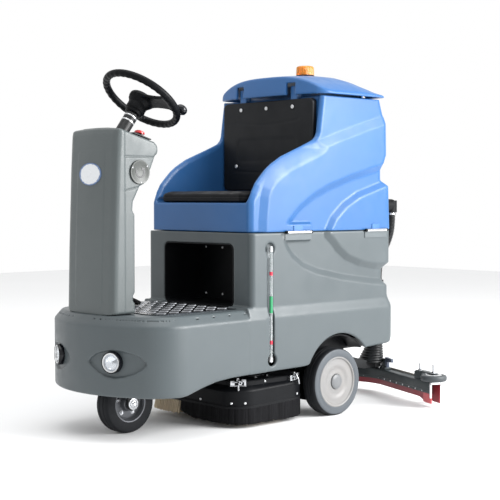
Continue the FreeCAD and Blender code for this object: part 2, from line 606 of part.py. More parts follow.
def steering_wheel():
    """Rim, two broad spokes and a deep hub on the inclined shaft."""
    rim = doc.addObject("Part::Torus", "Rim")
    bind(rim, Radius1="RimRadius", Radius2="RimTube")
    bind_place(rim, ("0", "RimY", "RimZ"), COLUMN_TURN)
    hub_outline = rounded([(0, d.HubTop), (d.HubRadius - 3, d.HubTop, 8), (d.HubRadius, -26, 8),
                           (d.NeckRadius, -34, 6), (d.NeckRadius, d.HubBottom + 12, 4),
                           (d.NeckRadius - 5, d.HubBottom, 2), (d.ShaftRadius, d.HubBottom),
                           (d.ShaftRadius, -20), (0, -20)])
    pieces = [rim, turned("Hub", hub_outline, ("0", "RimY", "RimZ"), COLUMN_TURN)]
    for angle in SPOKE_ANGLES:
        spoke = doc.addObject("Part::Box", "Spoke")
        bind(spoke, Length="RimRadius - %g" % SPOKE_START, Width="SpokeWide", Height="SpokeThick")
        turn = COLUMN_TURN * Rotation(Vector(0, 0, 1), angle)
        corner = turn.multVec(Vector(SPOKE_START, -d.SpokeWide / 2, 4 - d.SpokeThick))
        bind_place(spoke, ("%.4f" % corner.x, "RimY + %.4f" % corner.y, "RimZ + %.4f" % corner.z), turn)
        pieces.append(spoke)
    node(fuse("SteeringWheel", *pieces), "steering_wheel")
    node(cylinder("SteeringShaft", "ShaftRadius", "-20 - ShaftEnd", column_axis(d.ShaftEnd), COLUMN_TURN),
         "steering_shaft")
    jacket = cylinder("Jacket", "JacketRadius", "JacketTop - JacketEnd", column_axis(d.JacketEnd), COLUMN_TURN)
    jacket_bore = cylinder("JacketHollow", "ShaftRadius + 1", "JacketTop - JacketEnd + 20",
                           column_axis(d.JacketEnd - 10), COLUMN_TURN)
    node(cut("ColumnTube", jacket, jacket_bore), "column_tube")
    turn = COLUMN_TURN * Rotation(Vector(0, 0, 1), d.KnobAngle)
    seat = turn.multVec(Vector(d.RimRadius, 0, d.RimTube + 0.3))
    ball = [(0, 0), (9, 0), (9, 8), (22, 14, 8), (24, 28, 10), (12, 42, 14), (0, 43)]
    node(turned("SpinnerKnob", rounded(ball), ("%.4f" % seat.x, "RimY + %.4f" % seat.y,
                                               "RimZ + %.4f" % seat.z), turn), "spinner_knob")


def steering_gear():
    """Upright lower shaft, its sprocket, the chain and the fork of the steered drive wheel."""
    shaft = cylinder("LowerShaft", "ShaftRadius + 1", "LowerShaftTop - LowerShaftEnd",
                     ("0", "LowerShaftY", "LowerShaftEnd"))
    yoke = cylinder("Yoke", "2 * ShaftRadius", "40", ("0", "LowerShaftY", "LowerShaftTop - 40"))
    small = cylinder("SmallSprocketDisc", "SmallSprocket", "ChainHigh - ChainLow",
                     ("0", "LowerShaftY", "ChainLow"))
    node(fuse("LowerSteeringShaft", shaft, yoke, small), "lower_steering_shaft")
    play = 0.6
    outer = loop_outline(d.LowerShaftY, d.SteerY, d.SmallSprocket + play + d.ChainThick,
                         d.LargeSprocket + play + d.ChainThick)
    inner = loop_outline(d.LowerShaftY, d.SteerY, d.SmallSprocket + play, d.LargeSprocket + play)
    node(pad("SteeringChain", "XY_Plane", [outer, inner], "ChainLow + 1", "ChainHigh - 1"), "steering_chain")
    king = cylinder("KingPinShaft", "KingPin", "ChainHigh - CrownLow", ("0", "SteerY", "CrownLow"))
    large = cylinder("LargeSprocketDisc", "LargeSprocket", "ChainHigh - ChainLow", ("0", "SteerY", "ChainLow"))
    crown = box("Crown", ("-LegOuter", "LegOuter"), ("SteerY - CrownHalf", "SteerY + CrownHalf"),
                ("CrownLow", "CrownHigh"))
    legs = both_sides(lambda side: box("Leg", span(side, "LegInner", "LegOuter"),
                                       ("SteerY - LegHalf", "SteerY + LegHalf"),
                                       ("DriveRadius - LegHalf", "CrownHigh")))
    axle = cylinder("DriveAxleRod", "DriveAxle", "2 * LegOuter + 16", ("-LegOuter - 8", "SteerY", "DriveRadius"),
                    "X")
    node(fuse("DriveFork", king, large, crown, axle, *legs), "drive_fork")


def drive_wheel():
    """Front drive wheel: solid tyre on a rim with a recessed face."""
    half = d.DriveHalf
    tyre = rounded([(d.DriveRim, -half), (d.DriveRadius - 8, -half, 6), (d.DriveRadius, 8 - half, 10),
                    (d.DriveRadius, half - 8, 10), (d.DriveRadius - 8, half, 6), (d.DriveRim, half)])
    hub = d.DriveAxle + 0.1
    rim = rounded([(hub, -half), (28, -half), (32, -10), (60, -10), (64, 2 - half), (d.DriveRim, 2 - half),
                   (d.DriveRim, half - 2), (64, half - 2), (60, 10), (32, 10), (28, half), (hub, half)])
    place = ("0", "SteerY", "DriveRadius")
    node(turned("DriveTyre", tyre, place, TURN["X"]), "drive_tyre")
    node(turned("DriveRimDisc", rim, place, TURN["X"]), "drive_rim")


# ---------------------------------------------------------------- rear wheels

def rear_wheels():
    """Two rear wheels with broad flat discs that turn on the fixed axle."""
    width = d.TyreWidth
    bore = d.AxleRadius + 0.1
    seat = d.WheelRadius - d.TyreWall
    tyre = rounded([(seat, 0), (d.WheelRadius - 8, 0, 6), (d.WheelRadius, 8, 10),
                    (d.WheelRadius, width - 8, 10), (d.WheelRadius - 8, width, 6), (seat, width)])
    rim = rounded([(bore, 2), (32, 2), (34, 40), (94, 46), (96, 4), (seat, 4), (seat, width - 1),
                   (98, width - 1, 4), (92, width - 6, 4), (60, width - 8, 10), (56, width - 12, 4),
                   (28, width - 13), (24, width - 2, 3), (0, width - 1), (0, 60), (bore, 60)])
    for side, name in ((1, "left"), (-1, "right")):
        turn = TURN["X"] if side > 0 else Rotation(Vector(0, 1, 0), -90)
        place = ("%d * WheelInner" % side, "AxleY", "WheelRadius")
        node(turned("Tyre", tyre, place, turn), "rear_tyre_" + name)
        node(turned("RimDisc", rim, place, turn), "rear_rim_" + name)


# ---------------------------------------------------------------- brush deck

def deck_plan(inset):
    """Plan of the brush deck, drawn in by an inset."""
    return rounded([(inset - d.DeckHalf, d.DeckFront + inset, d.DeckCorner - inset),
                    (d.DeckHalf - inset, d.DeckFront + inset, d.DeckCorner - inset),
                    (d.DeckHalf - inset, d.DeckRear - inset, d.DeckRearCorner - inset),
                    (inset - d.DeckHalf, d.DeckRear - inset, d.DeckRearCorner - inset)])


def brush_deck():
    """Deck housing with its core and lifting rod, bristle skirt, two motors and two disc brushes."""
    outer = pad("DeckOuter", "XY_Plane", [deck_plan(0)], "DeckLip", "DeckTop")
    inner = pad("DeckInner", "XY_Plane", [deck_plan(d.DeckWall)], "DeckLip - 10", "DeckTop - DeckWall")
    holes = both_sides(lambda side: cylinder("BrushHole", "16", "40",
                                             ("%d * BrushX" % side, "BrushY", "DeckTop - 20")))
    shell = cut("DeckShell", outer, inner, *holes)
    core = pad("DeckCore", "XY_Plane", [deck_plan(d.CoreInset)], "DeckTop - 1", "CoreTop")
    rod = cylinder("LiftRod", "RodRadius", "95", ("0", "ActuatorY", "DeckTop - 1"))
    node(fuse("DeckHousing", shell, core, rod), "deck_housing")
    skirt = pad("SkirtRing", "XY_Plane", [deck_plan(0), deck_plan(d.SkirtThick)], "DeckBottom", "DeckLip")
    gap = box("SkirtGap", ("-DeckHalf - 10", "SkirtGapEnd"), ("DeckFront - 10", "BrushY"), ("0", "DeckTop"))
    node(cut("DeckSkirt", skirt, gap), "deck_skirt")
    motors = both_sides(lambda side: cylinder("BrushMotor", "MotorRadius", "MotorTop - CoreTop",
                                              ("%d * BrushX" % side, "BrushY", "CoreTop")))
    node(group("BrushMotors", motors), "brush_motors")
    profile = [(0, d.BristleTop + 4), (20, d.BristleTop), (d.BristleInner, d.BristleTop), (d.BristleInner, d.BristleEnd),
               (d.BrushRadius - 2, d.BristleEnd), (d.BrushRadius - 6, d.BristleTop),
               (d.BrushRadius, d.BristleTop), (d.BrushRadius, d.BrushTop, 4), (30, d.BrushTop),
               (12, 90), (12, d.DeckTop - 2), (0, d.DeckTop - 2)]
    for side, name in ((1, "left"), (-1, "right")):
        node(turned("Brush", rounded(profile), ("%d * BrushX" % side, "BrushY", "0")), "brush_" + name)
    tube = cylinder("ActuatorBarrel", "ActuatorTube", "ActuatorHigh - ActuatorLow",
                    ("0", "ActuatorY", "ActuatorLow"))
    flange = cylinder("ActuatorCollar", "ActuatorFlange", "6",
                      ("0", "ActuatorY", "RailHigh + ActuatorPlateThick"))
    bore = cylinder("ActuatorBore", "RodRadius + 0.5", "ActuatorHigh - ActuatorLow - 6",
                    ("0", "ActuatorY", "ActuatorLow - 1"))
    node(cut("DeckActuator", fuse("ActuatorBody", tube, flange), bore), "deck_actuator")


# ---------------------------------------------------------------- squeegee

def sweep_line(offset):
    """Left tip, apex and right tip of the squeegee's bowed line, so far behind its middle line."""
    slope = math.radians(d.SweepSlope)
    tip_x = d.SweepTip + offset * math.sin(slope)
    tip_y = d.SweepApex - d.SweepTip * math.tan(slope) + offset * math.cos(slope)
    apex = (0, d.SweepApex + offset / math.cos(slope), d.SweepBend + offset)
    return [(tip_x, tip_y), apex, (-tip_x, tip_y)]


def sweep_band(name, inner, outer, low, high):
    """A band along the squeegee's bowed line, between two distances from its middle line."""
    return pad(name, "XY_Plane", [rounded(sweep_line(outer) + sweep_line(inner)[::-1])], low, high)


def squeegee():
    """Bowed squeegee head with two blades, suction stub, rollers and end casters, on a lifting arm."""
    half = d.HeadHalf
    parts = [sweep_band("HeadRoofBand", -half, half, "HeadRoof", "HeadTop"),
             sweep_band("FrontFlange", -half, 3 - half, "HeadLow", "HeadTop"),
             sweep_band("RearFlange", half - 3, half, "HeadLow", "HeadTop")]
    for side in (1, -1):
        parts.append(box("RollerPost", span(side, "PostInner", "PostOuter"), ("PostFront", "PostRear"),
                         ("HeadTop - 1", "RollerHigh + 7")))
        parts.append(box("RollerBracket", span(side, "PostInner", "RollerX + 14"),
                         ("RollerY - 10", "PostRear - 4"), ("RollerHigh + 1", "RollerHigh + 7")))
        parts.append(cylinder("RollerPinRod", "RollerPin", "RollerHigh - HeadTop + 9",
                              ("%d * RollerX" % side, "RollerY", "HeadTop - 1")))
        parts.append(box("CasterArm", span(side, "CasterX - CasterHalf - 7", "CasterX - CasterHalf - 2"),
                         ("CasterDropY", "CasterY + 6"), ("CasterZ - 6", "CasterZ + 12")))
        parts.append(box("CasterDrop", span(side, "CasterX - CasterHalf - 7", "CasterX - CasterHalf - 2"),
                         ("CasterDropY", "CasterDropY + 18"), ("CasterZ - 6", "HeadTop")))
        parts.append(cylinder("CasterPin", "4", "2 * CasterHalf + 10",
                              ("CasterX - CasterHalf - 3" if side > 0 else "-CasterX - CasterHalf - 7",
                               "CasterY", "CasterZ"), "X"))
    bores = [cylinder("NozzleHole", "NozzleNeck", "40", ("0", "NozzleY", "HeadRoof - 20"))]
    node(cut("SqueegeeBody", fuse("SqueegeeSteel", *parts), *bores), "squeegee_body")
    blade_outer = half - 3 - d.BladeGap
    blades = []
    for name, outer in (("RearBlade", blade_outer), ("FrontBlade", d.BladeThick - blade_outer)):
        strip = sweep_band(name, outer - d.BladeThick, outer, "BladeTipLow", "HeadRoof - BladeGap")
        short = box(name + "Trim", ("-BladeTipStart", "BladeTipStart"), ("0", "2 * SweepApex"),
                    ("0", "BladeLow"))
        blades.append(cut(name + "Piece", strip, short))
    node(group("SqueegeeBlades", blades), "squeegee_blades")
    flange = d.HeadTop + 0.3
    stub = [(d.NozzleNeckBore, d.HeadRoof), (d.NozzleNeck, d.HeadRoof), (d.NozzleNeck, flange),
            (d.NozzleRadius, flange), (d.NozzleRadius, d.NozzleTop), (d.NozzleBore, d.NozzleTop),
            (d.NozzleBore, flange + 8), (d.NozzleNeckBore, flange + 4)]
    node(turned("SuctionNozzle", rounded(stub), ("0", "NozzleY", "0")), "suction_nozzle")
    roller = rounded([(d.RollerPin + 0.1, 0), (d.RollerRadius, 0, 10),
                      (d.RollerRadius, d.RollerHigh - d.RollerLow, 10),
                      (d.RollerPin + 0.1, d.RollerHigh - d.RollerLow)])
    caster = rounded([(4.1, -d.CasterHalf), (d.CasterRadius, -d.CasterHalf, 4),
                      (d.CasterRadius, d.CasterHalf, 4), (4.1, d.CasterHalf)])
    for side, name in ((1, "left"), (-1, "right")):
        node(turned("Roller", roller, ("%d * RollerX" % side, "RollerY", "RollerLow")), "roller_" + name)
        node(turned("Caster", caster, ("%d * CasterX" % side, "CasterY", "CasterZ"), TURN["X"]),
             "caster_" + name)


def squeegee_arm():
    """Arm from the frame's lugs to the ring, open at the rear, that the suction stub turns in."""
    bar = pad("ArmBar", "YZ_Plane",
              [rounded([(d.PivotY - 14, d.PivotZ - 14, 8), (d.PivotY + 60, d.PivotZ - 32, 20),
                        (d.NozzleY - 110, d.RingLow), (d.NozzleY - 30, d.RingLow), (d.NozzleY - 30, d.RingHigh),
                        (d.NozzleY - 100, d.RingHigh + 14, 20), (d.PivotY + 70, d.PivotZ + 6, 20),
                        (d.PivotY - 14, d.PivotZ + 14, 8)])],
              "-LugInner + 6", "LugInner - 6")
    pin = cylinder("ArmPin", "PivotPin", "2 * LugOuter + 6", ("-LugOuter - 3", "PivotY", "PivotZ"), "X")
    ring = cylinder("ArmRing", "RingRadius", "RingHigh - RingLow", ("0", "NozzleY", "RingLow"))
    bore = cylinder("ArmRingBore", "NozzleRadius + 0.3", "80", ("0", "NozzleY", "RingLow - 20"))
    opening = box("ArmRingOpening", ("-RingRadius - 5", "RingRadius + 5"), ("NozzleY + 12", "NozzleY + 60"),
                  ("RingLow - 5", "RingHigh + 5"))
    node(cut("SqueegeeArm", fuse("ArmSteel", bar, pin, ring), bore, opening), "squeegee_arm")


# ---------------------------------------------------------------- recovery tank, seat, lid and beacon

# side profile of the arm rests, from the seat front back to the foot of the tank's front wall
ARM_LINE = ((-222, 900, 150), (-120, 1042, 160), (104, 1128, 46))
# side profile of the tank's stepped rear wall, from the lid down
REAR_LINE = ((541, 1240, 40), (541, 1082), (522, 1044), (522, 984), (556, 954))
TANK_REAR_TOP = 512
TANK_FRONT_TOP = 152
WELL_REAR = 510
MOTOR_WALL = -60


def recovery_tank():
    """Blue upper moulding: seat ledge between two arm rests, and the tank behind the back rest."""
    side = rounded([(d.TankFront, d.Seam), (d.TankFront, 870, 60), *ARM_LINE, (TANK_FRONT_TOP, d.TankTop),
                    (TANK_REAR_TOP, d.TankTop), *REAR_LINE, (d.BodyRear, d.Seam)])
    outer = pad("TankOuter", "YZ_Plane", [side], "-BodyHalf", "BodyHalf")
    seat_bay = box("SeatBay", ("-ArmInner", "ArmInner"), ("TankFront - 20", "SeatBack"),
                   ("SeatLevel", "TankTop + 20"))
    under = box("UnderSeat", ("TankWall - BodyHalf", "BodyHalf - TankWall"),
                ("TankFront + TankWall", "SeatBack"), ("Seam - 10", "SeatLevel - TankWall"))
    well = box("TankWell", ("TankWall - BodyHalf", "BodyHalf - TankWall"),
               ("SeatBack + TankWall", str(WELL_REAR)), ("Seam + TankWall", "TankTop + 20"))
    shell = cut("TankBody", outer, seat_bay, under, well)
    along = ("SeatBack + TankWall - 1", str(WELL_REAR + 1))
    shelf = box("MotorShelf", ("-BodyHalf + TankWall - 1", str(MOTOR_WALL)), along, ("ShelfZ", "ShelfZ + 8"))
    wall = box("MotorWall", (str(MOTOR_WALL - 8), str(MOTOR_WALL)), along, ("ShelfZ", "TankTop - 20"))
    lugs = []
    for side_sign in (1, -1):
        across = span(side_sign, "LidLugInner", "LidLugOuter")
        lugs.append(box("LidLug", across, ("500", "LidPivotY + 8"), ("TankTop - 50", "TankTop")))
        lugs.append(box("LidEar", across, ("LidRear + 1.5", "LidPivotY + 8"), ("TankTop - 1", "LidPivotZ + 7")))
    bore = cylinder("LidLugBore", "LidPin + 0.2", "2 * BodyHalf", ("-BodyHalf", "LidPivotY", "LidPivotZ"), "X")
    node(cut("RecoveryTank", fuse("TankSolid", shell, shelf, wall, *lugs), bore), "recovery_tank")
    node(cylinder("VacuumMotor", "66", "140", ("-185", "330", "ShelfZ + 8")), "vacuum_motor")
    cage = [(0, 0), (34, 0), (34, 120, 6), (0, 120)]
    node(turned("FloatFilter", rounded(cage), ("-26", "300", "ShelfZ + 10")), "float_filter")


HINGE_SPANS = ((-90, 59), (385, 524))


def tank_hinges():
    """Two hinges on the left seam: fixed leaves with their pins, and knuckles on the tank."""
    leaves = []
    knuckles = []
    for start, end in HINGE_SPANS:
        third = (end - start) / 3
        for low, high in ((start, start + third - 1), (end - third + 1, end)):
            leaves.append(cylinder("LeafBarrel", "HingeRadius", str(high - low), ("HingeX", str(low), "HingeZ"),
                                   "Y"))
        leaves.append(box("Leaf", ("BodyHalf", "BodyHalf + LeafThick"), (str(start), str(end)),
                          ("HingeZ - HingeRadius - 1 - LeafHigh", "HingeZ - HingeRadius + 1")))
        leaves.append(cylinder("LeafPin", "HingePin", str(end - start), ("HingeX", str(start), "HingeZ"), "Y"))
        low, high = start + third, end - third
        barrel = cylinder("Knuckle", "HingeRadius", str(high - low), ("HingeX", str(low), "HingeZ"), "Y")
        flap = box("Flap", ("BodyHalf", "BodyHalf + LeafThick"), (str(low), str(high)),
                   ("HingeZ + 2", "HingeZ + LeafHigh + 2"))
        bore = cylinder("KnuckleBore", "HingePin + 0.2", str(high - low + 4),
                        ("HingeX", str(low - 2), "HingeZ"), "Y")
        knuckles.append(cut("KnucklePiece", fuse("KnuckleSolid", barrel, flap), bore))
    plates = fuse("HingeLeaves", *leaves)
    relief = []
    for start, end in HINGE_SPANS:
        third = (end - start) / 3
        relief.append(box("LeafRelief", ("BodyHalf - 1", "BodyHalf + LeafThick + 1"),
                          ("%.4f" % (start + third - 0.7), "%.4f" % (end - third + 0.7)),
                          ("HingeZ - HingeRadius - 1", "HingeZ")))
    node(cut("HingeLeafSet", plates, *relief), "hinge_leaves")
    node(group("HingeKnuckles", knuckles), "hinge_knuckles")


def seat():
    """Seat cushion and back rest panel, each a plain closed solid."""
    cushion = pad("SeatCushion", "XY_Plane",
                  [rectangle(-d.CushionHalf, d.CushionHalf, d.CushionFront, d.CushionRear, 40)],
                  "SeatLevel + 0.4", "CushionTop")
    dress(cushion, "Fillet", d.CushionCorner * 0.6, level_at(d.CushionTop - d.SeatLevel - 0.4))
    node(cushion, "seat_cushion")
    back = pad("BackrestPanel", "XZ_Plane",
               [rectangle(-d.BackHalf, d.BackHalf, d.BackLow, d.BackHigh, 24)], "BackFront", "BackRear")
    node(back, "backrest_panel")


def lid_section(inset, height, body, top=False):
    """Sketch of the lid's plan at a height above its lower edge."""
    if top:
        plan = rectangle(inset - d.LidTopHalf, d.LidTopHalf - inset, d.LidTopFront + inset,
                         d.LidTopRear - inset, 70)
    else:
        plan = rectangle(inset - d.LidHalf, d.LidHalf - inset, d.LidFront + inset, d.LidRear - inset, 26)
    return sketch_on(body, "XY_Plane", [plan], height)


def tank_lid():
    """Shallow domed lid, hollow below, with pins at its rear edge, and the beacon on its crown."""
    body = doc.addObject("PartDesign::Body", "LidDome")
    edge = d.LidEdge - d.LidLow
    crown = d.LidTop - d.LidLow
    rim = body.newObject("PartDesign::Pad", "LidRim")
    rim.Profile = lid_section(0, 0, body)
    bind(rim, Length="LidEdge - LidLow")
    dome = body.newObject("PartDesign::AdditiveLoft", "Dome")
    dome.Profile = lid_section(0, edge, body)
    dome.Sections = [lid_section(0, crown, body, True)]
    dome.Ruled = True
    hollow = body.newObject("PartDesign::SubtractiveLoft", "Hollow")
    hollow.Profile = lid_section(d.LidWall, 0, body)
    hollow.Sections = [lid_section(d.LidWall + 10, edge, body),
                       lid_section(d.LidWall + 10, crown - d.LidWall, body, True)]
    hollow.Ruled = True
    bind_place(body, ("0", "0", "LidLow"))
    pins = []
    notches = []
    for side in (1, -1):
        notches.append(box("LidNotch", span(side, "LidLugInner - 2", "LidLugOuter + 2"),
                           ("LidRear - 14", "LidRear + 10"), ("LidLow - 5", "LidEdge + 4")))
        pins.append(box("LidTab", span(side, "160", "190"), ("LidRear - 10", "LidPivotY + 4"),
                        ("LidPivotZ - 4", "LidPivotZ + 4")))
        pins.append(cylinder("LidPinRod", "LidPin", "44", ("162" if side > 0 else "-206", "LidPivotY",
                                                          "LidPivotZ"), "X"))
    node(fuse("TankLid", cut("LidShell", body, *notches), *pins), "tank_lid")
    base = [(0, 0), (d.BeaconRadius + 2, 0), (d.BeaconRadius, d.BeaconBaseHigh, 3), (0, d.BeaconBaseHigh)]
    node(turned("BeaconBase", rounded(base), ("0", "BeaconY", "LidTop")), "beacon_base")
    lens = [(0, 0), (d.BeaconRadius - 2, 0), (d.BeaconRadius - 4, d.BeaconHigh - 6, 3), (0, d.BeaconHigh - 6)]
    node(turned("BeaconLens", rounded(lens), ("0", "BeaconY", "LidTop + BeaconBaseHigh")), "beacon_lens")


# ---------------------------------------------------------------- suction hose

UPPER_HOSE = [(250, 636, 840), (250, 636, 786), (245, 627, 732), (229, 604, 668), (212, 592, 608),
              (212, 592, 543)]
LOWER_HOSE = [(212, 592, 492), (212, 592, 440), (198, 607, 386), (168, 640, 346), (130, 682, 320),
              (88, 728, 298), (46, 776, 270), (12, 817, 228), (0, 831, 174)]


def hose_path(points):
    """Straight runs joined by tangent arcs, and the arcs' radii."""
    places = [Vector(*point) for point in points]
    edges = []
    radii = []
    start = places[0]
    for before, here, after in zip(places, places[1:], places[2:]):
        back = (before - here).normalize()
        ahead = (after - here).normalize()
        half_turn = (math.pi - back.getAngle(ahead)) / 2
        reach = 0.45 * min((before - here).Length, (after - here).Length)
        radius = reach / math.tan(half_turn)
        inward = (back + ahead).normalize() * (radius / math.cos(half_turn) - radius)
        entry, leave = here + back * reach, here + ahead * reach
        edges.append(Part.LineSegment(start, entry).toShape())
        edges.append(Part.Arc(entry, here + inward, leave).toShape())
        radii.append(radius)
        start = leave
    edges.append(Part.LineSegment(start, places[-1]).toShape())
    return Part.Wire(edges), radii


def hose(points, label):
    """A plain round hose along its route."""
    path, radii = hose_path(points)
    first = Vector(*points[0])
    toward = Vector(*points[1]) - first
    ring = Part.Wire([Part.Circle(first, toward, d.HoseRadius).toShape()])
    solid = path.makePipeShell([ring], True, True)
    feature = doc.addObject("Part::Feature", "Hose")
    feature.Shape = solid
    feature.Placement = FreeCAD.Placement()
    expected = math.pi * d.HoseRadius ** 2 * path.Length
    print(label, "radii", [round(radius) for radius in radii], "length", round(path.Length),
          "volume ratio", round(solid.Volume / expected, 4))
    node(feature, label)


def hoses():
    """Outlet elbow on the tank, the cuff on the lower body, and the two hose lengths."""
    spout = cylinder("Spout", "HoseRadius + 6", "ElbowY - BodyRear + 12", ("ElbowX", "BodyRear - 12", "ElbowZ"), "Y")
    drop = cylinder("Drop", "HoseRadius + 6", "ElbowZ - ElbowLow + 22", ("ElbowX", "ElbowY", "ElbowLow"))
    knee = doc.addObject("Part::Sphere", "Knee")
    bind(knee, Radius="HoseRadius + 6")
    bind_place(knee, ("ElbowX", "ElbowY", "ElbowZ"))
    trim = box("ElbowTrim", ("ElbowX - 60", "ElbowX + 60"), ("BodyRear - 40", "BodyRear - 2"),
               ("ElbowZ - 60", "ElbowZ + 60"))
    node(cut("HoseElbow", fuse("ElbowSolid", spout, drop, knee), trim), "hose_elbow")
    cuff = cylinder("Cuff", "CuffRadius", "CuffHigh - CuffLow", ("CuffX", "CuffY", "CuffLow"))
    bracket = box("CuffBracket", ("CuffX - 12", "CuffX + 12"), ("BodyRear", "CuffY"), ("CuffLow + 8", "CuffHigh - 8"))
    node(fuse("HoseClip", cuff, bracket), "hose_clip")
    hose(UPPER_HOSE, "suction_hose_upper")
    hose(LOWER_HOSE, "suction_hose_lower")


# ---------------------------------------------------------------- build, check and write

for build in (chassis_frame, solution_tank, gauge, front_bumper, headlights, battery_bay, leg_recess_liner,
              platform_plate, accelerator_pedal, column_housing, controls, steering_wheel, steering_gear,
              drive_wheel, rear_wheels, brush_deck, squeegee, squeegee_arm, recovery_tank, tank_hinges, seat,
              tank_lid, hoses):
    build()
doc.recompute()

for thing in doc.Objects:
    if "Invalid" in thing.State or "Error" in thing.State:
        raise SystemExit("failed object: %s (%s) %s" % (thing.Name, thing.Label, thing.State))
for piece in nodes:
    if piece.Shape.isNull() or not piece.Shape.isValid() or piece.Shape.Volume <= 0:
        raise SystemExit("bad shape: " + piece.Label)
whole = FreeCAD.BoundBox()
for piece in nodes:
    whole.add(piece.Shape.BoundBox)
    piece.Shape.exportStep(os.path.join("parts", piece.Label + ".step"))
print(len(nodes), "nodes; box", [round(number, 1) for number in (
    whole.XMin, whole.XMax, whole.YMin, whole.YMax, whole.ZMin, whole.ZMax)])
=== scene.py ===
"""Looks of the ride-on floor scrubber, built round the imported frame.  Shapes are worked out in
millimetres (+Z up, -Y front, +X the driver's left) and become metres when a mesh is made."""
import math

import bmesh
import bpy
import numpy as np
from mathutils import Matrix, Vector


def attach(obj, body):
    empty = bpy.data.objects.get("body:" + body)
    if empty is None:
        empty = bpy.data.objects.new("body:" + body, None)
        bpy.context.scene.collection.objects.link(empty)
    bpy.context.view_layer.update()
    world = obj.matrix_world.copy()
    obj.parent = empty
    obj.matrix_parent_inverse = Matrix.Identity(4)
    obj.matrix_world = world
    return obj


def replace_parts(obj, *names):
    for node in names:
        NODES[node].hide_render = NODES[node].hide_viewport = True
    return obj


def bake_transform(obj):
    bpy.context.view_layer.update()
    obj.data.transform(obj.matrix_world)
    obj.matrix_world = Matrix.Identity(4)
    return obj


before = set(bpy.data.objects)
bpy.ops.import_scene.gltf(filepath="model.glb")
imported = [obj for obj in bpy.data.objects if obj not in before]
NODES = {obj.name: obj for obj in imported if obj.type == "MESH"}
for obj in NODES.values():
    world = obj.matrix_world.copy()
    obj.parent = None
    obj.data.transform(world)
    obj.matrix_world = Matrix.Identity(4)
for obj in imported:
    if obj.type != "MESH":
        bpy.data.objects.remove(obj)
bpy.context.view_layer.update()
MM = 0.001

# ---------------------------------------------------------------- camera and picture

CAMERA_PLACE = (3.7442, -3.5091, 0.9038)
CAMERA_TURN = math.radians(46.675)
CAMERA_PITCH = math.radians(2.444)
CAMERA_LENS, CAMERA_SENSOR = 88.11, 36
camera_data = bpy.data.cameras.new("camera")
camera_data.lens = CAMERA_LENS
camera_data.sensor_width = CAMERA_SENSOR
camera = bpy.data.objects.new("camera", camera_data)
camera.location = CAMERA_PLACE
camera.rotation_euler = (math.pi / 2 - CAMERA_PITCH, 0, CAMERA_TURN)
bpy.context.scene.collection.objects.link(camera)
bpy.context.scene.camera = camera
bpy.context.scene.view_settings.view_transform = "Standard"


# ---------------------------------------------------------------- making objects


def add_object(name, data, body=None):
    """Link new object data and let it ride on a body."""
    thing = bpy.data.objects.new(name, data)
    bpy.context.scene.collection.objects.link(thing)
    if body:
        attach(thing, body)
    return thing


def mesh_object(name, points, faces, body=None, marks=None):
    """A smooth mesh from points in millimetres, with each face's material number."""
    mesh = bpy.data.meshes.new(name)
    mesh.from_pydata([tuple(point) for point in np.asarray(points) * MM], [], [tuple(face) for face in faces])
    if marks:
        mesh.polygons.foreach_set("material_index", marks)
    mesh.validate()
    mesh.polygons.foreach_set("use_smooth", [True] * len(mesh.polygons))
    return add_object(name, mesh, body)


def fast_mesh(name, points, quads, body=None):
    """A smooth mesh from arrays of points in millimetres and quads."""
    mesh = bpy.data.meshes.new(name)
    mesh.vertices.add(len(points))
    mesh.vertices.foreach_set("co", (points * MM).astype(np.float32).ravel())
    mesh.loops.add(quads.size)
    mesh.loops.foreach_set("vertex_index", quads.astype(np.int32).ravel())
    mesh.polygons.add(len(quads))
    mesh.polygons.foreach_set("loop_start", np.arange(0, quads.size, 4, dtype=np.int32))
    mesh.update(calc_edges=True)
    mesh.validate()
    mesh.polygons.foreach_set("use_smooth", [True] * len(mesh.polygons))
    return add_object(name, mesh, body)


def paint(thing, *materials):
    """Give an object these materials and no others."""
    slots = thing.data.materials
    if slots:
        slots.clear()
    for material in materials:
        slots.append(material)
    return thing


# ---------------------------------------------------------------- shapes as signed distances

SLIDES = 3
SLOPE_STEP, LEAST_SLOPE, LONGEST_SLIDE = 0.2, 0.2, 0.6
FOLLOW_SPREAD = (-4, -1.5, 1.5, 4)


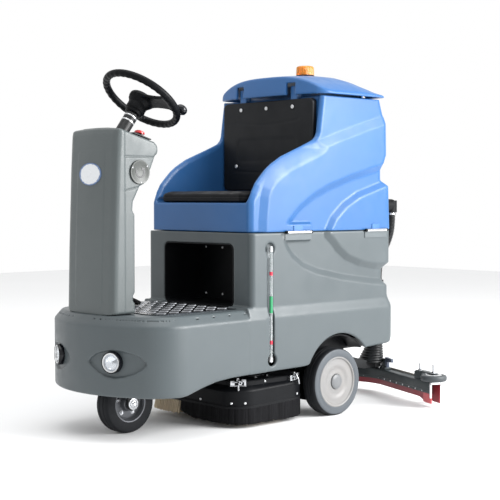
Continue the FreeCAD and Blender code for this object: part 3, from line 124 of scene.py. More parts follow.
def surface(shape, low, high, cell):
    """Points and quads of a shape's surface.  The shape is a signed distance, negative inside.
    Crossings of a regular grid are gathered into one point a cell, then slid onto the surface."""
    axes = [np.arange(start, end + cell, cell, dtype=np.float32) for start, end in zip(low, high)]
    value = np.ascontiguousarray(np.broadcast_to(
        shape(*np.meshgrid(*axes, indexing="ij", sparse=True)), [len(axis) for axis in axes]), np.float32)
    cells = np.array(value.shape) - 1
    strides = np.array([cells[1] * cells[2], cells[2], 1])
    keys, places, quads, flips = [], [], [], []
    for axis in range(3):
        others = [other for other in range(3) if other != axis]
        near = value[tuple(slice(0, -1) if k == axis else slice(1, -1) for k in range(3))]
        far = value[tuple(slice(1, None) if k == axis else slice(1, -1) for k in range(3))]
        index = np.argwhere((near < 0) != (far < 0))
        first = near[tuple(index.T)]
        second = far[tuple(index.T)]
        index[:, others] += 1
        crossing = index.astype(float)
        crossing[:, axis] += first / (first - second)
        corners = []
        for step in ((0, 0), (1, 0), (1, 1), (0, 1)):
            shifted = index.copy()
            shifted[:, others[0]] -= step[0]
            shifted[:, others[1]] -= step[1]
            corners.append(shifted @ strides)
        keys.extend(corners)
        places.extend([crossing] * 4)
        quads.append(np.stack(corners, 1))
        flips.append((first < 0) == (axis != 1))
    keys, places = np.concatenate(keys), np.concatenate(places)
    quads, flips = np.concatenate(quads), np.concatenate(flips)
    used, where = np.unique(keys, return_inverse=True)
    count = np.bincount(where)
    points = np.stack([np.bincount(where, places[:, k]) / count for k in range(3)], 1)
    points = points * cell + [axis[0] for axis in axes]
    quads = np.searchsorted(used, quads)
    quads[~flips] = quads[~flips][:, ::-1]
    reach = cell * SLOPE_STEP
    for _ in range(SLIDES):
        x, y, z = points.T
        here = shape(x, y, z)
        slope = np.stack([(shape(x + reach, y, z) - shape(x - reach, y, z)),
                          (shape(x, y + reach, z) - shape(x, y - reach, z)),
                          (shape(x, y, z + reach) - shape(x, y, z - reach))], 1) / (2 * reach)
        steep = np.maximum((slope ** 2).sum(1), LEAST_SLOPE)
        step = slope * (here / steep)[:, None]
        points = points - np.clip(step, -cell * LONGEST_SLIDE, cell * LONGEST_SLIDE)
    return points, quads


def moulding(name, shape, low, high, cell, body=None):
    """A moulded piece from its signed distance."""
    points, quads = surface(shape, low, high, cell * (1))
    return fast_mesh(name, points, quads, body)


def both(first, second, radius=0):
    """What lies in both shapes, with the edge between them rounded."""
    if not radius:
        return np.maximum(first, second)
    reach = np.hypot(np.maximum(first + radius, 0), np.maximum(second + radius, 0))
    return np.minimum(np.maximum(first, second), -radius) + reach


def joined(first, second, radius=0):
    """Two shapes together, with a fillet where they meet."""
    return -both(-first, -second, radius)


def less(first, second, radius=0):
    """The first shape without the second, its new edges rounded."""
    return both(first, -second, radius)


def block(x, y, z, low, high, radius):
    """A box between two corners with rounded edges."""
    q = [np.abs(value - (a + b) / 2) - (b - a) / 2 + radius for value, a, b in zip((x, y, z), low, high)]
    outside = np.sqrt(sum(np.maximum(part, 0) ** 2 for part in q))
    return outside + np.minimum(np.maximum(np.maximum(q[0], q[1]), q[2]), 0) - radius


def polygon(u, v, corners):
    """Signed distance of a closed outline in a plane."""
    corners = np.asarray(corners, float)
    nearest = None
    winding = 1.0
    for (bu, bv), (au, av) in zip(np.roll(corners, 1, 0), corners):
        eu, ev = bu - au, bv - av
        wu, wv = u - au, v - av
        along = np.clip((wu * eu + wv * ev) / (eu * eu + ev * ev), 0, 1)
        square = (wu - eu * along) ** 2 + (wv - ev * along) ** 2
        nearest = square if nearest is None else np.minimum(nearest, square)
        low, high = v >= av, v < bv
        left = eu * wv > ev * wu
        flip = (low & high & left) | (~low & ~high & ~left)
        winding = winding * np.where(flip, -1.0, 1.0)
    return winding * np.sqrt(nearest)


def tube_field(x, y, z, start, end, radius):
    """A round bar between two points."""
    start, end = np.array(start, float), np.array(end, float)
    run = end - start
    along = np.clip(((x - start[0]) * run[0] + (y - start[1]) * run[1] + (z - start[2]) * run[2])
                    / (run @ run), 0, 1)
    return np.sqrt((x - start[0] - run[0] * along) ** 2 + (y - start[1] - run[1] * along) ** 2
                   + (z - start[2] - run[2] * along) ** 2) - radius


def follow(value, table):
    """A smooth curve through a table of (place, height) pairs."""
    places, heights = zip(*table)
    return sum(np.interp(value + shift, places, heights) for shift in FOLLOW_SPREAD) / len(FOLLOW_SPREAD)


# ---------------------------------------------------------------- sides of the body

BODY_HALF = 320
SEAM = 767
GROOVE_DEPTH = 17
GROOVE_EDGE = 27
GROOVE_OUTER = [(-110, 757), (-71, 816), (-12, 869), (67, 918), (169, 960), (316, 1004), (514, 1051),
                (640, 1078), (640, 524), (545, 527), (434, 537), (263, 560), (100, 592), (13, 622),
                (-50, 664), (-78, 697)]
GROOVE_INNER = [(178, 757), (192, 780), (213, 812), (274, 861), (360, 904), (515, 948), (640, 975),
                (640, 626), (564, 626), (472, 625), (369, 642), (287, 670), (238, 704), (213, 730)]
REAR_EDGE = [(200, 556), (279, 561), (309, 568), (452, 567), (488, 553), (527, 552), (550, 532), (601, 535),
             (626, 564), (769, 564), (954, 556), (980, 522), (1044, 522), (1087, 541), (1245, 537),
             (1317, 512), (1400, 490)]
HINGE_PAD = (-95, 64, 735, 799)
PAD_EDGE, PAD_SHARE = 9, 0.2


def groove(y, z):
    """Depth of the wide sunk band that loops across the seam on each side."""
    outer = np.clip(-polygon(y, z, GROOVE_OUTER) / GROOVE_EDGE, 0, 1)
    inner = np.clip(polygon(y, z, GROOVE_INNER) / GROOVE_EDGE, 0, 1)
    front, back, low, high = HINGE_PAD
    beyond = np.maximum(np.maximum(front - y, y - back), np.maximum(low - z, z - high))
    pad = np.clip(beyond / PAD_EDGE + PAD_SHARE, 0, 1)
    return GROOVE_DEPTH * outer * inner * pad


# ---------------------------------------------------------------- grey lower body

SKIRT_SIDE = [(175, 331), (260, 333), (432, 333), (440, 332), (474, 319), (500, 309), (1000, 109)]
SKIRT_LOW = [(-900, 175), (-650, 175), (-620, 178), (-590, 186), (-546, 198), (-472, 213), (-396, 219),
             (-300, 221), (12, 225), (396, 272), (513, 278), (600, 288)]
BUMPER_CENTRE = -358
BUMPER_ARC = 500
BUMPER_CORNER = 170
BUMPER_SHOULDER = [(100, 2), (300, 0), (433, 0), (440, 5), (472, 33), (520, 75)]
LAMP_X, LAMP_Y, LAMP_Z = 168, -828.9, 303
EYE_DEPTH = 11


def bumper_plan():
    """Corners of the front moulding's plan, close together round its arcs."""
    corner_x = BODY_HALF + 35 - BUMPER_CORNER
    corner_y = BUMPER_CENTRE - math.sqrt((BUMPER_ARC - BUMPER_CORNER) ** 2 - corner_x ** 2)
    lean = math.atan2(corner_x, BUMPER_CENTRE - corner_y)
    front = [(BUMPER_ARC * math.sin(turn), BUMPER_CENTRE - BUMPER_ARC * math.cos(turn))
             for turn in np.linspace(-lean, lean, 41)]
    side = [(corner_x + BUMPER_CORNER * math.sin(turn), corner_y - BUMPER_CORNER * math.cos(turn))
            for turn in np.linspace(lean, math.pi / 2, 15)[1:]]
    rear = [(333, -269), (333, -200), (-333, -200), (-333, -269)]
    return [(-x, y) for x, y in side[::-1]] + front + side + rear


BUMPER_PLAN = bumper_plan()


def lamp_frame(x, y, z):
    """Across, up and outward from a headlight's middle."""
    outward = np.array([LAMP_X, LAMP_Y - BUMPER_CENTRE]) / BUMPER_ARC
    dx, dy = np.abs(x) - LAMP_X, y - LAMP_Y
    return dx * -outward[1] + dy * outward[0], z - LAMP_Z, dx * outward[0] + dy * outward[1]


EYE = [(-112, -4), (-96, 14), (-70, 29), (-36, 39), (0, 43), (40, 42), (80, 35), (112, 22), (132, 6),
       (134, -6), (118, -22), (90, -38), (50, -51), (10, -57), (-30, -52), (-70, -36), (-98, -18)]
SHELL_FRONT, SHELL_LOW, SHELL_TOP = -268, 440, 766
SKIRT_FRONT, SKIRT_TOP = -290, 478
PLATFORM_Z = 469.6
REAR_X, REAR_Y, REAR_Z = 241, 225, 140
ARCH_RADIUS, ARCH_WALL = 204, 236
LAMP_BORE, LAMP_DEEP = 34, 60
WELL_HALF, WELL_FRONT, WELL_REAR, WELL_FLOOR = 288, -256, 516, 350
UNDER_HALF, UNDER_FRONT, UNDER_REAR, UNDER_TOP = 319, -262, 540, 338
NOSE_WALL, NOSE_REAR, NOSE_TOP = 24, -283, 457
LEG_RECESS = ((-212, -320, 473), (212, -236, 722))
CHAIN_SLOT = ((-45, -770, 430), (45, -590, 500))


def grey_shape(x, y, z):
    """Lower body and front moulding in one, hollow above and below."""
    ax = np.abs(x)
    rear = y - follow(z, REAR_EDGE)
    upper = both(ax - (BODY_HALF - groove(y, z)), rear, 36)
    upper = both(upper, SHELL_FRONT - y, 24)
    upper = both(upper, SHELL_LOW - z)
    skirt = both(ax - follow(z, SKIRT_SIDE), rear, 38)
    skirt = both(skirt, SKIRT_FRONT - y)
    skirt = both(skirt, z - SKIRT_TOP)
    plan = polygon(ax, y, BUMPER_PLAN)
    bumper = both(plan + follow(z, BUMPER_SHOULDER), z - PLATFORM_Z, 5)
    solid = joined(joined(upper, skirt, 3), bumper, 5)
    solid = both(solid, follow(y, SKIRT_LOW) - z, 9)
    solid = both(solid, z - SHELL_TOP, 3)
    arch = np.hypot(y - REAR_Y, z - REAR_Z) - ARCH_RADIUS
    solid = less(solid, both(arch, ARCH_WALL - ax), 5)
    across, up, out = lamp_frame(x, y, z)
    eye = both(polygon(across, up, EYE), -(plan + EYE_DEPTH), 4)
    solid = less(solid, both(eye, -out - LAMP_DEEP), 4)
    solid = less(solid, both(np.hypot(across, up) - LAMP_BORE, -out - LAMP_DEEP))
    well = both(both(ax - WELL_HALF, WELL_FRONT - y, 20), y - WELL_REAR, 20)
    solid = less(solid, both(well, WELL_FLOOR - z), 4)
    under = both(ax - UNDER_HALF, z - UNDER_TOP, 8)
    under = both(under, both(UNDER_FRONT - y, y - UNDER_REAR))
    nose = both(both(plan + NOSE_WALL, y - NOSE_REAR), z - NOSE_TOP, 8)
    solid = less(solid, joined(under, nose))
    solid = less(solid, both(both(plan + NOSE_WALL, z - UNDER_TOP), y))
    solid = less(solid, block(ax, y, z, *LEG_RECESS, 25), 5)
    solid = less(solid, block(ax, y, z, *CHAIN_SLOT, 10), 3)
    return less(solid, gauge_cut(x, y, z), 3)


GAUGE_X, GAUGE_Y = 324, -170
GAUGE_SLOT = ((309, -183, 270), (360, -158, 705))
POCKET_X, POCKET_RADIUS, POCKET_HEIGHTS = 306, 24, (268, 704)


def gauge_cut(x, y, z):
    """Upright groove of the level gauge on the left side, with a round pocket at each end."""
    slot = block(x, y, z, *GAUGE_SLOT, 5)
    for height in POCKET_HEIGHTS:
        pocket = both(np.hypot(y - GAUGE_Y, z - height) - POCKET_RADIUS, POCKET_X - x)
        slot = joined(slot, pocket, 6)
    return slot


# ---------------------------------------------------------------- blue recovery tank

ARM_PROFILE = [(-262, 700), (-262, 884), (-249, 928), (-229, 963), (-202, 991), (-175, 1017), (-145, 1039),
               (-88, 1071), (9, 1108), (72, 1131), (98, 1142), (112, 1155), (120, 1171), (129, 1234),
               (140, 1310), (142, 1340), (640, 1340), (640, 700)]
SIDE_CREASE = [(-185, 700), (-185, 817), (-175, 904), (-163, 934), (-147, 958), (-126, 986), (-100, 1010),
               (-68, 1032), (-32, 1049), (20, 1070), (112, 1097), (229, 1134), (371, 1176), (504, 1213),
               (640, 1252), (640, 700)]
ARM_OUTSIDE = [(0, 0), (291, 0), (304, 27), (322, 70)]
ARM_INSIDE = [(0, 26), (272, 26), (280, 17), (289, 0), (400, 0)]
TAB_X, TAB_HALF = 154, 19
TANK_LOW, TANK_TOP = 768.5, 1322
SEAT_BAY = ((-279, -320, 884), (279, 146, 1400))
TANK_UNDERSIDE = ((-288, -240, 700), (288, 130, 866))
TANK_WELL = ((-290, 162, 794), (290, 504, 1400))
INNER_SHELF = ((-300, 150, 1136), (-60, 512, 1149))
INNER_WALL = ((-72, 150, 1136), (-60, 512, 1302))
HINGE_LUG = ((192, 498, 1270), (204, 542, 1337))
CATCH_TAB = ((TAB_X - TAB_HALF, 126, 1290), (TAB_X + TAB_HALF, 160, 1369))


def blue_shape(x, y, z):
    """Recovery tank with the arm rests and the seat ledge."""
    ax = np.abs(x)
    profile = polygon(y, z, ARM_PROFILE)
    softer = np.clip((1165 - z) / 60, 0.35, 1) * np.clip((z - 860) / 60, 0.55, 1)
    above = np.clip((z - 890) / 30, 0, 1)
    outer = profile + follow(ax, ARM_OUTSIDE) * softer + follow(ax, ARM_INSIDE) * softer * above
    bevel = np.clip(polygon(y, z, SIDE_CREASE) / 38, 0, 1)
    side = ax - (BODY_HALF - 15 * bevel - groove(y, z))
    solid = both(outer, side, 5)
    solid = both(solid, y - follow(z, REAR_EDGE), 30)
    solid = both(solid, both(z - TANK_TOP, TANK_LOW - z), 3)
    for space, edge, fillet in ((SEAT_BAY, 12, 7), (TANK_UNDERSIDE, 14, 4), (TANK_WELL, 22, 5)):
        solid = less(solid, block(ax, y, z, *space, edge), fillet)
    shelf = np.maximum(block(x, y, z, *INNER_SHELF, 3), -1)
    wall = block(x, y, z, *INNER_WALL, 3)
    lug = block(ax, y, z, *HINGE_LUG, 4)
    tab = block(ax, y, z, *CATCH_TAB, 4)
    for extra in (shelf, wall, lug, tab):
        solid = joined(solid, extra, 4)
    return solid


# ---------------------------------------------------------------- lid

LID_RISE = [(60, 72), (110, 74), (180, 82), (260, 88), (353, 89), (400, 82), (450, 63), (490, 38), (526, 8),
            (600, -60)]
LID_HALF, LID_REAR, LID_LOW = 324, 526, 1330
LID_NOSE, LID_BOW, LID_BOW_POWER = 97, 42, 2.4
LID_EDGE_Z, LID_ARCH_HALF, LID_ARCH_POWER = 1337, 329, 3.0
LID_THICK, LID_FLATTEN, LID_DRAFT_Z = 11, 0.88, 1331
LID_INNER_HALF, LID_INNER_REAR = 308, 512
CATCH_NOTCH = ((TAB_X - TAB_HALF - 6, 60, 1300), (TAB_X + TAB_HALF + 4, 168, 1380))
LUG_NOTCH = ((188, 500, 1300), (208, 540, 1348))


def lid_front(ax):
    """Bowed front edge of the lid's plan."""
    return LID_NOSE + LID_BOW * (ax / LID_HALF) ** LID_BOW_POWER


def lid_top(ax, y):
    """Height of the lid's upper surface."""
    return LID_EDGE_Z + follow(y, LID_RISE) * (1 - (ax / LID_ARCH_HALF) ** LID_ARCH_POWER)


def lid_shape(x, y, z):
    """Arched lid with thin rounded edges, hollow below, notched for the two catches and the hinge lugs."""
    ax = np.abs(x)
    plan = both(both(ax - LID_HALF, lid_front(ax) - y, 46), y - LID_REAR, 34)
    top = (z - lid_top(ax, y)) * LID_FLATTEN
    solid = both(both(plan + 0.08 * (z - LID_DRAFT_Z), top, 9), LID_LOW - z, 5)
    inner = both(both(ax - LID_INNER_HALF, lid_front(ax) + 16 - y, 34), y - LID_INNER_REAR, 24)
    solid = less(solid, both(inner, top + LID_THICK, 8), 3)
    solid = less(solid, block(ax, y, z, *CATCH_NOTCH, 5), 3)
    return less(solid, block(ax, y, z, *LUG_NOTCH, 3), 2)


# ---------------------------------------------------------------- pod and steering wheel

COLUMN_TILT = math.radians(36.8)
RIM_Y, RIM_Z, RIM_RADIUS = -554, 1285, 153
POD_PROFILE = [(-814, 466), (-808, 703), (-797, 1010), (-792, 1120), (-790, 1140), (-784, 1158),
               (-770, 1166), (-752, 1162), (-689, 1143), (-604, 1120), (-590, 1108), (-584, 1096),
               (-583, 1078), (-588, 1064), (-598, 1056), (-612, 1024), (-638, 966), (-652, 950), (-672, 941),
               (-686, 915), (-702, 886), (-704, 858), (-694, 843), (-694, 548), (-702, 538), (-702, 522),
               (-694, 514), (-694, 466)]
POD_FRONT = [(400, -815), (703, -808), (1010, -797), (1130, -790), (1300, -780)]
POD_LINES = [((-749, 1056), (-560, 1056)), ((-749, 930), (-640, 952))]
POD_HALF, POD_BEVEL_X, POD_BOW = 150, 134, 0.00035


def wheel_frame(x, y, z):
    """Places on the steering wheel's own axes: across, down its slope, and up its axis."""
    dy, dz = y - RIM_Y, z - RIM_Z
    return (x, dy * math.cos(COLUMN_TILT) - dz * math.sin(COLUMN_TILT),
            dy * math.sin(COLUMN_TILT) + dz * math.cos(COLUMN_TILT))


def pod_shape(x, y, z):
    """Steering pod: bowed front with bevelled corners, a soft raised panel and shut lines."""
    ax = np.abs(x)
    profile = polygon(y, z, POD_PROFILE)
    step = 3 * np.clip((y + 753) / 6, 0, 1)
    solid = both(ax - POD_HALF + step, profile + POD_BOW * ax * ax, 9)
    front = y - follow(z, POD_FRONT)
    bevel = (ax - POD_BEVEL_X) * 0.64 - front * 0.77 + 3
    solid = both(solid, bevel, 10)
    panel = both(both(ax - 84, 492 - z, 22), z - 1080, 22)
    solid = joined(solid, both(panel, both(-front - 1.0 + POD_BOW * ax * ax, front - 20), 2.5), 2.5)
    for (y0, z0), (y1, z1) in POD_LINES:
        mark = tube_field(np.zeros_like(x), y, z, (0, y0, z0), (0, y1, z1), 2.2)
        solid = less(solid, both(mark, 143 - ax), 1)
    _, off, along = wheel_frame(x, y, z)
    bore = both(np.hypot(x, off) - 28, np.maximum(along + 60, -along - 250))
    return less(solid, bore, 2)


SPOKE_ANGLES = (12, 146)


def wheel_shape(x, y, z):
    """Rim with finger waves below, two broad spokes and a deep hub with a collar."""
    u, v, w = wheel_frame(x, y, z)
    reach = np.hypot(u, v)
    turn = np.arctan2(v, u)
    waves = 0.6 * np.cos(36 * turn) * np.clip(-w / 10, 0, 1)
    rim = np.hypot(reach - RIM_RADIUS, w * 1.02) - 14.4 + waves
    hub = both(reach - 50 + 0.5 * np.maximum(-w - 8, 0), both(w - 9, -w - 30, 8), 9)
    neck = both(reach - 38.5, np.maximum(w, -w - 62), 4)
    collar = both(reach - 33, np.maximum(w + 50, -w - 75), 3)
    shape = joined(joined(hub, neck, 8), collar, 1.5)
    spokes = None
    for degrees in SPOKE_ANGLES:
        angle = math.radians(degrees)
        along = u * math.cos(angle) + v * math.sin(angle)
        side = np.abs(-u * math.sin(angle) + v * math.cos(angle))
        width = 33 + 0.0022 * (along - 92) ** 2
        height = w + 5 + 0.001 * side ** 2
        spoke = both(both(side - width, np.abs(height) - 6.5, 5), np.maximum(20 - along, along - 146))
        spokes = spoke if spokes is None else np.minimum(spokes, spoke)
    shape = joined(joined(shape, spokes, 10), rim, 9)
    cap = both(reach - 30, np.abs(w - 9.5) - 1.8, 1)
    return joined(shape, cap, 1)


# ---------------------------------------------------------------- seat


def cushion_shape(x, y, z):
    """Seat cushion before it is filled: a flat form, pulled in a little below."""
    plan = both(both(np.abs(x) - 266, -(y + 260), 34), y - 100, 24)
    return both(both(plan, z - 921, 10), 887 - z, 8)


BACKREST_CHANNELS = ((1215, 16, 5), (1106, 10, 2.5), (1012, 8, 4.5), (966, 0, 3))


def backrest_shape(x, y, z):
    """Moulded back pad: rounded rim, a broad sunk panel and four channels, most of them bowed."""
    ax = np.abs(x)
    plan = np.maximum(both(ax - 270, np.abs(z - 1124) - 189, 22), -1)
    swell = 7 * np.clip(1 - (ax / 250) ** 4, 0, 1) * np.clip(1 - ((z - 1120) / 200) ** 4, 0, 1)
    front = 114 - swell * 0.2 - y
    solid = both(both(plan, front, 9), y - 145, 4)
    dish = -both(ax - 200, np.abs(z - 1106) - 70, 42)
    depth = 5.5 * np.clip(dish / 26, 0, 1)
    for height, bow, deep in BACKREST_CHANNELS:
        line = z - height - bow * ((ax / 200) ** 2)
        depth = np.maximum(depth, deep * np.exp(-(line / 7) ** 2) * np.clip((214 - ax) / 24, 0, 1))
    return both(solid, front + depth, 3)


# ---------------------------------------------------------------- turned, lofted and small pieces


def turn_to(direction):
    """Rotation that takes the upright axis to a direction."""
    return Vector((0, 0, 1)).rotation_difference(Vector(direction).normalized()).to_matrix()


ROD_EDGE, ROD_SIDES = 1.0, 20


class Kit:
    """Small solids gathered into one mesh, in millimetres."""

    def __init__(self):
        self.points, self.faces, self.marks = [], [], []

    def add(self, points, faces, place=(0, 0, 0), turn=None, mark=0):
        """Put in points and faces, turned and moved, with one material number."""
        start = len(self.points)
        for point in points:
            point = Vector(point)
            self.points.append((turn @ point if turn else point) + Vector(place))
        self.faces += [tuple(start + index for index in face) for face in faces]
        self.marks += [mark] * len(faces)

    def turned(self, profile, place=(0, 0, 0), direction=(0, 0, 1), sides=40, mark=0):
        """A profile of (radius, height) pairs turned about an axis."""
        points, faces, rings = [], [], []
        for radius, height in profile:
            if radius < 1e-6:
                rings.append([len(points)])
                points.append((0, 0, height))
            else:
                rings.append(list(range(len(points), len(points) + sides)))
                points += [(radius * math.cos(2 * math.pi * k / sides),
                            radius * math.sin(2 * math.pi * k / sides), height) for k in range(sides)]
        for low, high in zip(rings, rings[1:]):
            for k in range(sides):
                m = (k + 1) % sides
                face = [low[k % len(low)], low[m % len(low)], high[m % len(high)], high[k % len(high)]]
                faces.append(list(dict.fromkeys(face)))
        self.add(points, [face for face in faces if len(face) > 2], place, turn_to(direction), mark)

    def rod(self, start, end, radius, mark=0):
        """A round bar with eased ends."""
        run = Vector(end) - Vector(start)
        long = run.length
        edge = min(ROD_EDGE, radius * 0.6, long * 0.3)
        self.turned([(0, 0), (radius - edge, 0), (radius, edge), (radius, long - edge), (radius - edge, long),
                     (0, long)], start, run, ROD_SIDES, mark)

    def box(self, low, high, edge=1.5, place=(0, 0, 0), turn=None, mark=0):
        """A box with chamfered edges."""
        low, high = np.array(low, float), np.array(high, float)
        edge = min(edge, (high - low).min() * 0.3)
        shape = bmesh.new()
        bmesh.ops.create_cube(shape, size=1)
        for vert in shape.verts:
            vert.co = Vector((low + high) / 2 + np.array(vert.co) * (high - low))
        bmesh.ops.bevel(shape, geom=list(shape.edges), offset=edge, segments=2, profile=0.6, affect="EDGES")
        shape.verts.index_update()
        self.add([vert.co for vert in shape.verts], [[v.index for v in face.verts] for face in shape.faces],
                 place, turn, mark)
        shape.free()

    def loft(self, rings, mark=0, caps=True, closed=True):
        """Skin through rings of points."""
        count = len(rings[0])
        points = [point for ring in rings for point in ring]
        faces = []
        for r in range(len(rings) - 1):
            for k in range(count if closed else count - 1):
                m = (k + 1) % count
                faces.append([r * count + k, r * count + m, (r + 1) * count + m, (r + 1) * count + k])
        if caps:
            faces.append(list(range(count))[::-1])
            faces.append(list(range((len(rings) - 1) * count, len(rings) * count)))
        self.add(points, faces, mark=mark)

    def slab(self, plan, low, high, edge=1.0, way="z", mark=0):
        """A closed plan extruded between two levels along an axis, with eased edges."""
        plan = np.array(plan, float)
        ahead, back = np.roll(plan, -1, 0) - plan, plan - np.roll(plan, 1, 0)
        run = [step / np.maximum(np.linalg.norm(step, axis=1), 1e-9)[:, None] for step in (ahead, back)]
        run = run[0] + run[1]
        inward = np.stack([-run[:, 1], run[:, 0]], 1) / np.maximum(np.linalg.norm(run, axis=1), 1e-9)[:, None]
        if (plan[:, 0] * np.roll(plan[:, 1], -1) - plan[:, 1] * np.roll(plan[:, 0], -1)).sum() < 0:
            inward = -inward
        order = {"z": (0, 1, 2), "x": (1, 2, 0), "y": (0, 2, 1)}[way]
        edge = min(edge, (high - low) * 0.3)
        rings = []
        for points, level in ((plan + inward * edge, low), (plan, low + edge), (plan, high - edge),
                              (plan + inward * edge, high)):
            ring = np.zeros((len(plan), 3))
            ring[:, order[0]], ring[:, order[1]], ring[:, order[2]] = points[:, 0], points[:, 1], level
            rings.append(ring)
        self.loft(rings, mark)

    def bolt(self, place, way, radius=6, high=4, mark=0):
        """A washer with a hexagon head on it."""
        place, way = Vector(place), Vector(way).normalized()
        self.turned([(0, 0), (radius * 1.5, 0), (radius * 1.5, 0.8), (radius * 1.4, 1.2), (0, 1.2)], place,
                    way, 24, mark)
        self.turned([(0, 0), (radius, 0), (radius, high * 0.8), (radius * 0.86, high), (0, high)],
                    place + way * 1.1, way, 6, mark)

    def screw(self, place, way, radius=5, mark=0):
        """A domed screw head with a socket in it."""
        self.turned([(0, -1), (radius, -1), (radius, 0.6), (radius * 0.8, 2.0), (radius * 0.45, 2.6),
                     (radius * 0.38, 0.8), (0, 0.8)], place, way, 20, mark)

    def done(self, name, body, *materials, sharp=32):
        """The gathered solids as one painted object, shaded sharp over an angle."""
        thing = mesh_object(name, self.points, self.faces, body, self.marks)
        shape = bmesh.new()
        shape.from_mesh(thing.data)
        bmesh.ops.recalc_face_normals(shape, faces=list(shape.faces))
        shape.to_mesh(thing.data)
        shape.free()
        thing.data.set_sharp_from_angle(angle=math.radians(sharp))
        return paint(thing, *materials)


def rounded_plan(corners, steps=10):
    """Closed plan through corners (x, y, radius), with true arcs, the same count of points each time."""
    out = []
    count = len(corners)
    for index, (x, y, radius) in enumerate(corners):
        here = np.array([x, y], float)
        back = np.array(corners[index - 1][:2], float) - here
        ahead = np.array(corners[(index + 1) % count][:2], float) - here
        back, ahead = back / np.linalg.norm(back), ahead / np.linalg.norm(ahead)
        half = math.acos(np.clip(back @ ahead, -1, 1)) / 2
        inward = (back + ahead) / np.linalg.norm(back + ahead)
        centre = here + inward * radius / math.sin(half)
        first = here + back * radius / math.tan(half) - centre
        last = here + ahead * radius / math.tan(half) - centre
        start, end = math.atan2(first[1], first[0]), math.atan2(last[1], last[0])
        sweep = (end - start + math.pi) % (2 * math.pi) - math.pi
        for step in range(steps + 1):
            angle = start + sweep * step / steps
            out.append(centre + np.array([math.cos(angle), math.sin(angle)]) * radius)
    return out


# ---------------------------------------------------------------- finishes


COAT_ROUGH = 0.12


def finish(name, colour, rough=0.42, metal=0.0, spread=0.05, grain=0.12, size=420, wear=0.0, coat=0.0,
           streak=(1, 1, 1), cell=False, clear=0.0, rough_spread=0.07, scale=4.0, tint=None, depth=0.0004,
           shine=0.5):
    """A procedural finish: broad colour drift, fine grain in bump, uneven gloss and pale worn edges."""
    made = bpy.data.materials.new(name)
    made.use_nodes = True
    tree = made.node_tree
    shader = tree.nodes["Principled BSDF"]

    def node(kind, **values):
        """A node with these settings, or these values on its inputs."""
        new = tree.nodes.new(kind)
        for key, value in values.items():
            if hasattr(new, key):
                setattr(new, key, value)
            else:
                new.inputs[key.replace("_", " ")].default_value = value
        return new

    def noise(fineness, **values):
        """A noise texture on the object's own coordinates."""
        new = node("ShaderNodeTexNoise", Scale=fineness, **values)
        link(mapped.outputs["Vector"], new.inputs["Vector"])
        return new.outputs["Fac"]

    link = tree.links.new
    mapped = node("ShaderNodeMapping", Scale=streak)
    link(node("ShaderNodeTexCoord").outputs["Object"], mapped.inputs["Vector"])
    ramp = node("ShaderNodeValToRGB")
    ends = ramp.color_ramp.elements
    ends[0].position, ends[1].position = 0.3, 0.7
    ends[0].color = (*[value * (1 - spread) for value in colour], 1)
    ends[1].color = (*[min(value * (1 + spread) + 0.002, 1) for value in tint or colour], 1)
    link(noise(scale, Detail=5.0, Roughness=0.6), ramp.inputs["Fac"])
    colour_out = ramp.outputs["Color"]
    if wear:
        edge = node("ShaderNodeMapRange", From_Min=0.52, From_Max=0.6, To_Max=wear)
        link(node("ShaderNodeNewGeometry").outputs["Pointiness"], edge.inputs["Value"])
        worn = (*[min(value * 1.5 + 0.05, 1) for value in colour], 1)
        blend = node("ShaderNodeMix", data_type="RGBA", B=worn)
        link(edge.outputs["Result"], blend.inputs["Factor"])
        link(colour_out, blend.inputs["A"])
        colour_out = blend.outputs["Result"]
    link(colour_out, shader.inputs["Base Color"])
    gloss = node("ShaderNodeMapRange", From_Min=0.3, From_Max=0.7, To_Min=max(rough - rough_spread, 0.02),
                 To_Max=min(rough + rough_spread, 1))
    link(noise(scale * 4.3, Detail=3.0), gloss.inputs["Value"])
    link(gloss.outputs["Result"], shader.inputs["Roughness"])
    if grain:
        bump = node("ShaderNodeBump", Strength=grain, Distance=depth)
        if cell:
            pebbles = node("ShaderNodeTexVoronoi", Scale=size)
            link(mapped.outputs["Vector"], pebbles.inputs["Vector"])
            link(pebbles.outputs["Distance"], bump.inputs["Height"])
        else:
            link(noise(size, Detail=2.0), bump.inputs["Height"])
        link(bump.outputs["Normal"], shader.inputs["Normal"])
    for key, value in (("Metallic", metal), ("Specular IOR Level", shine), ("Coat Weight", coat),
                       ("Coat Roughness", COAT_ROUGH), ("Transmission Weight", clear)):
        shader.inputs[key].default_value = value
    return made


GREY = finish("grey_moulding", (0.063, 0.077, 0.083), 0.38, spread=0.035, grain=0.10, wear=0.30, shine=0.4)
BLUE = finish("blue_moulding", (0.022, 0.098, 0.265), 0.35, spread=0.04, grain=0.10, wear=0.30, shine=0.4)
POD_GREY = finish("pod_moulding", (0.074, 0.087, 0.089), 0.38, spread=0.035, grain=0.10, wear=0.30, shine=0.4)
BLACK = finish("black_plastic", (0.003, 0.0035, 0.0045), 0.42, spread=0.15, grain=0.2, wear=0.1, shine=0.1)
GLOSS = finish("black_gloss", (0.003, 0.004, 0.006), 0.14, spread=0.2, grain=0.04, rough_spread=0.04,
               shine=0.3)
PAINT = finish("frame_paint", (0.006, 0.007, 0.008), 0.38, spread=0.2, grain=0.18, size=160, wear=0.2,
               shine=0.25)
STEEL = finish("bright_steel", (0.50, 0.51, 0.53), 0.24, metal=1.0, spread=0.08, grain=0.06, streak=(1, 1, 6))
CHROME = finish("chrome", (0.74, 0.75, 0.77), 0.10, metal=1.0, spread=0.04, grain=0.03, rough_spread=0.05)
TREAD = finish("tread_plate", (0.30, 0.31, 0.33), 0.22, metal=1.0, spread=0.10, grain=0.08, size=240,
               scale=14)
# The base plate between the tread bars: the bars' metal made darker, as painted shade.
TREAD_SHADED_BASE = finish("tread_base_painted_shade", (0.055, 0.06, 0.068), 0.2, metal=1.0, spread=0.15, grain=0.06, size=240,
                    scale=14)
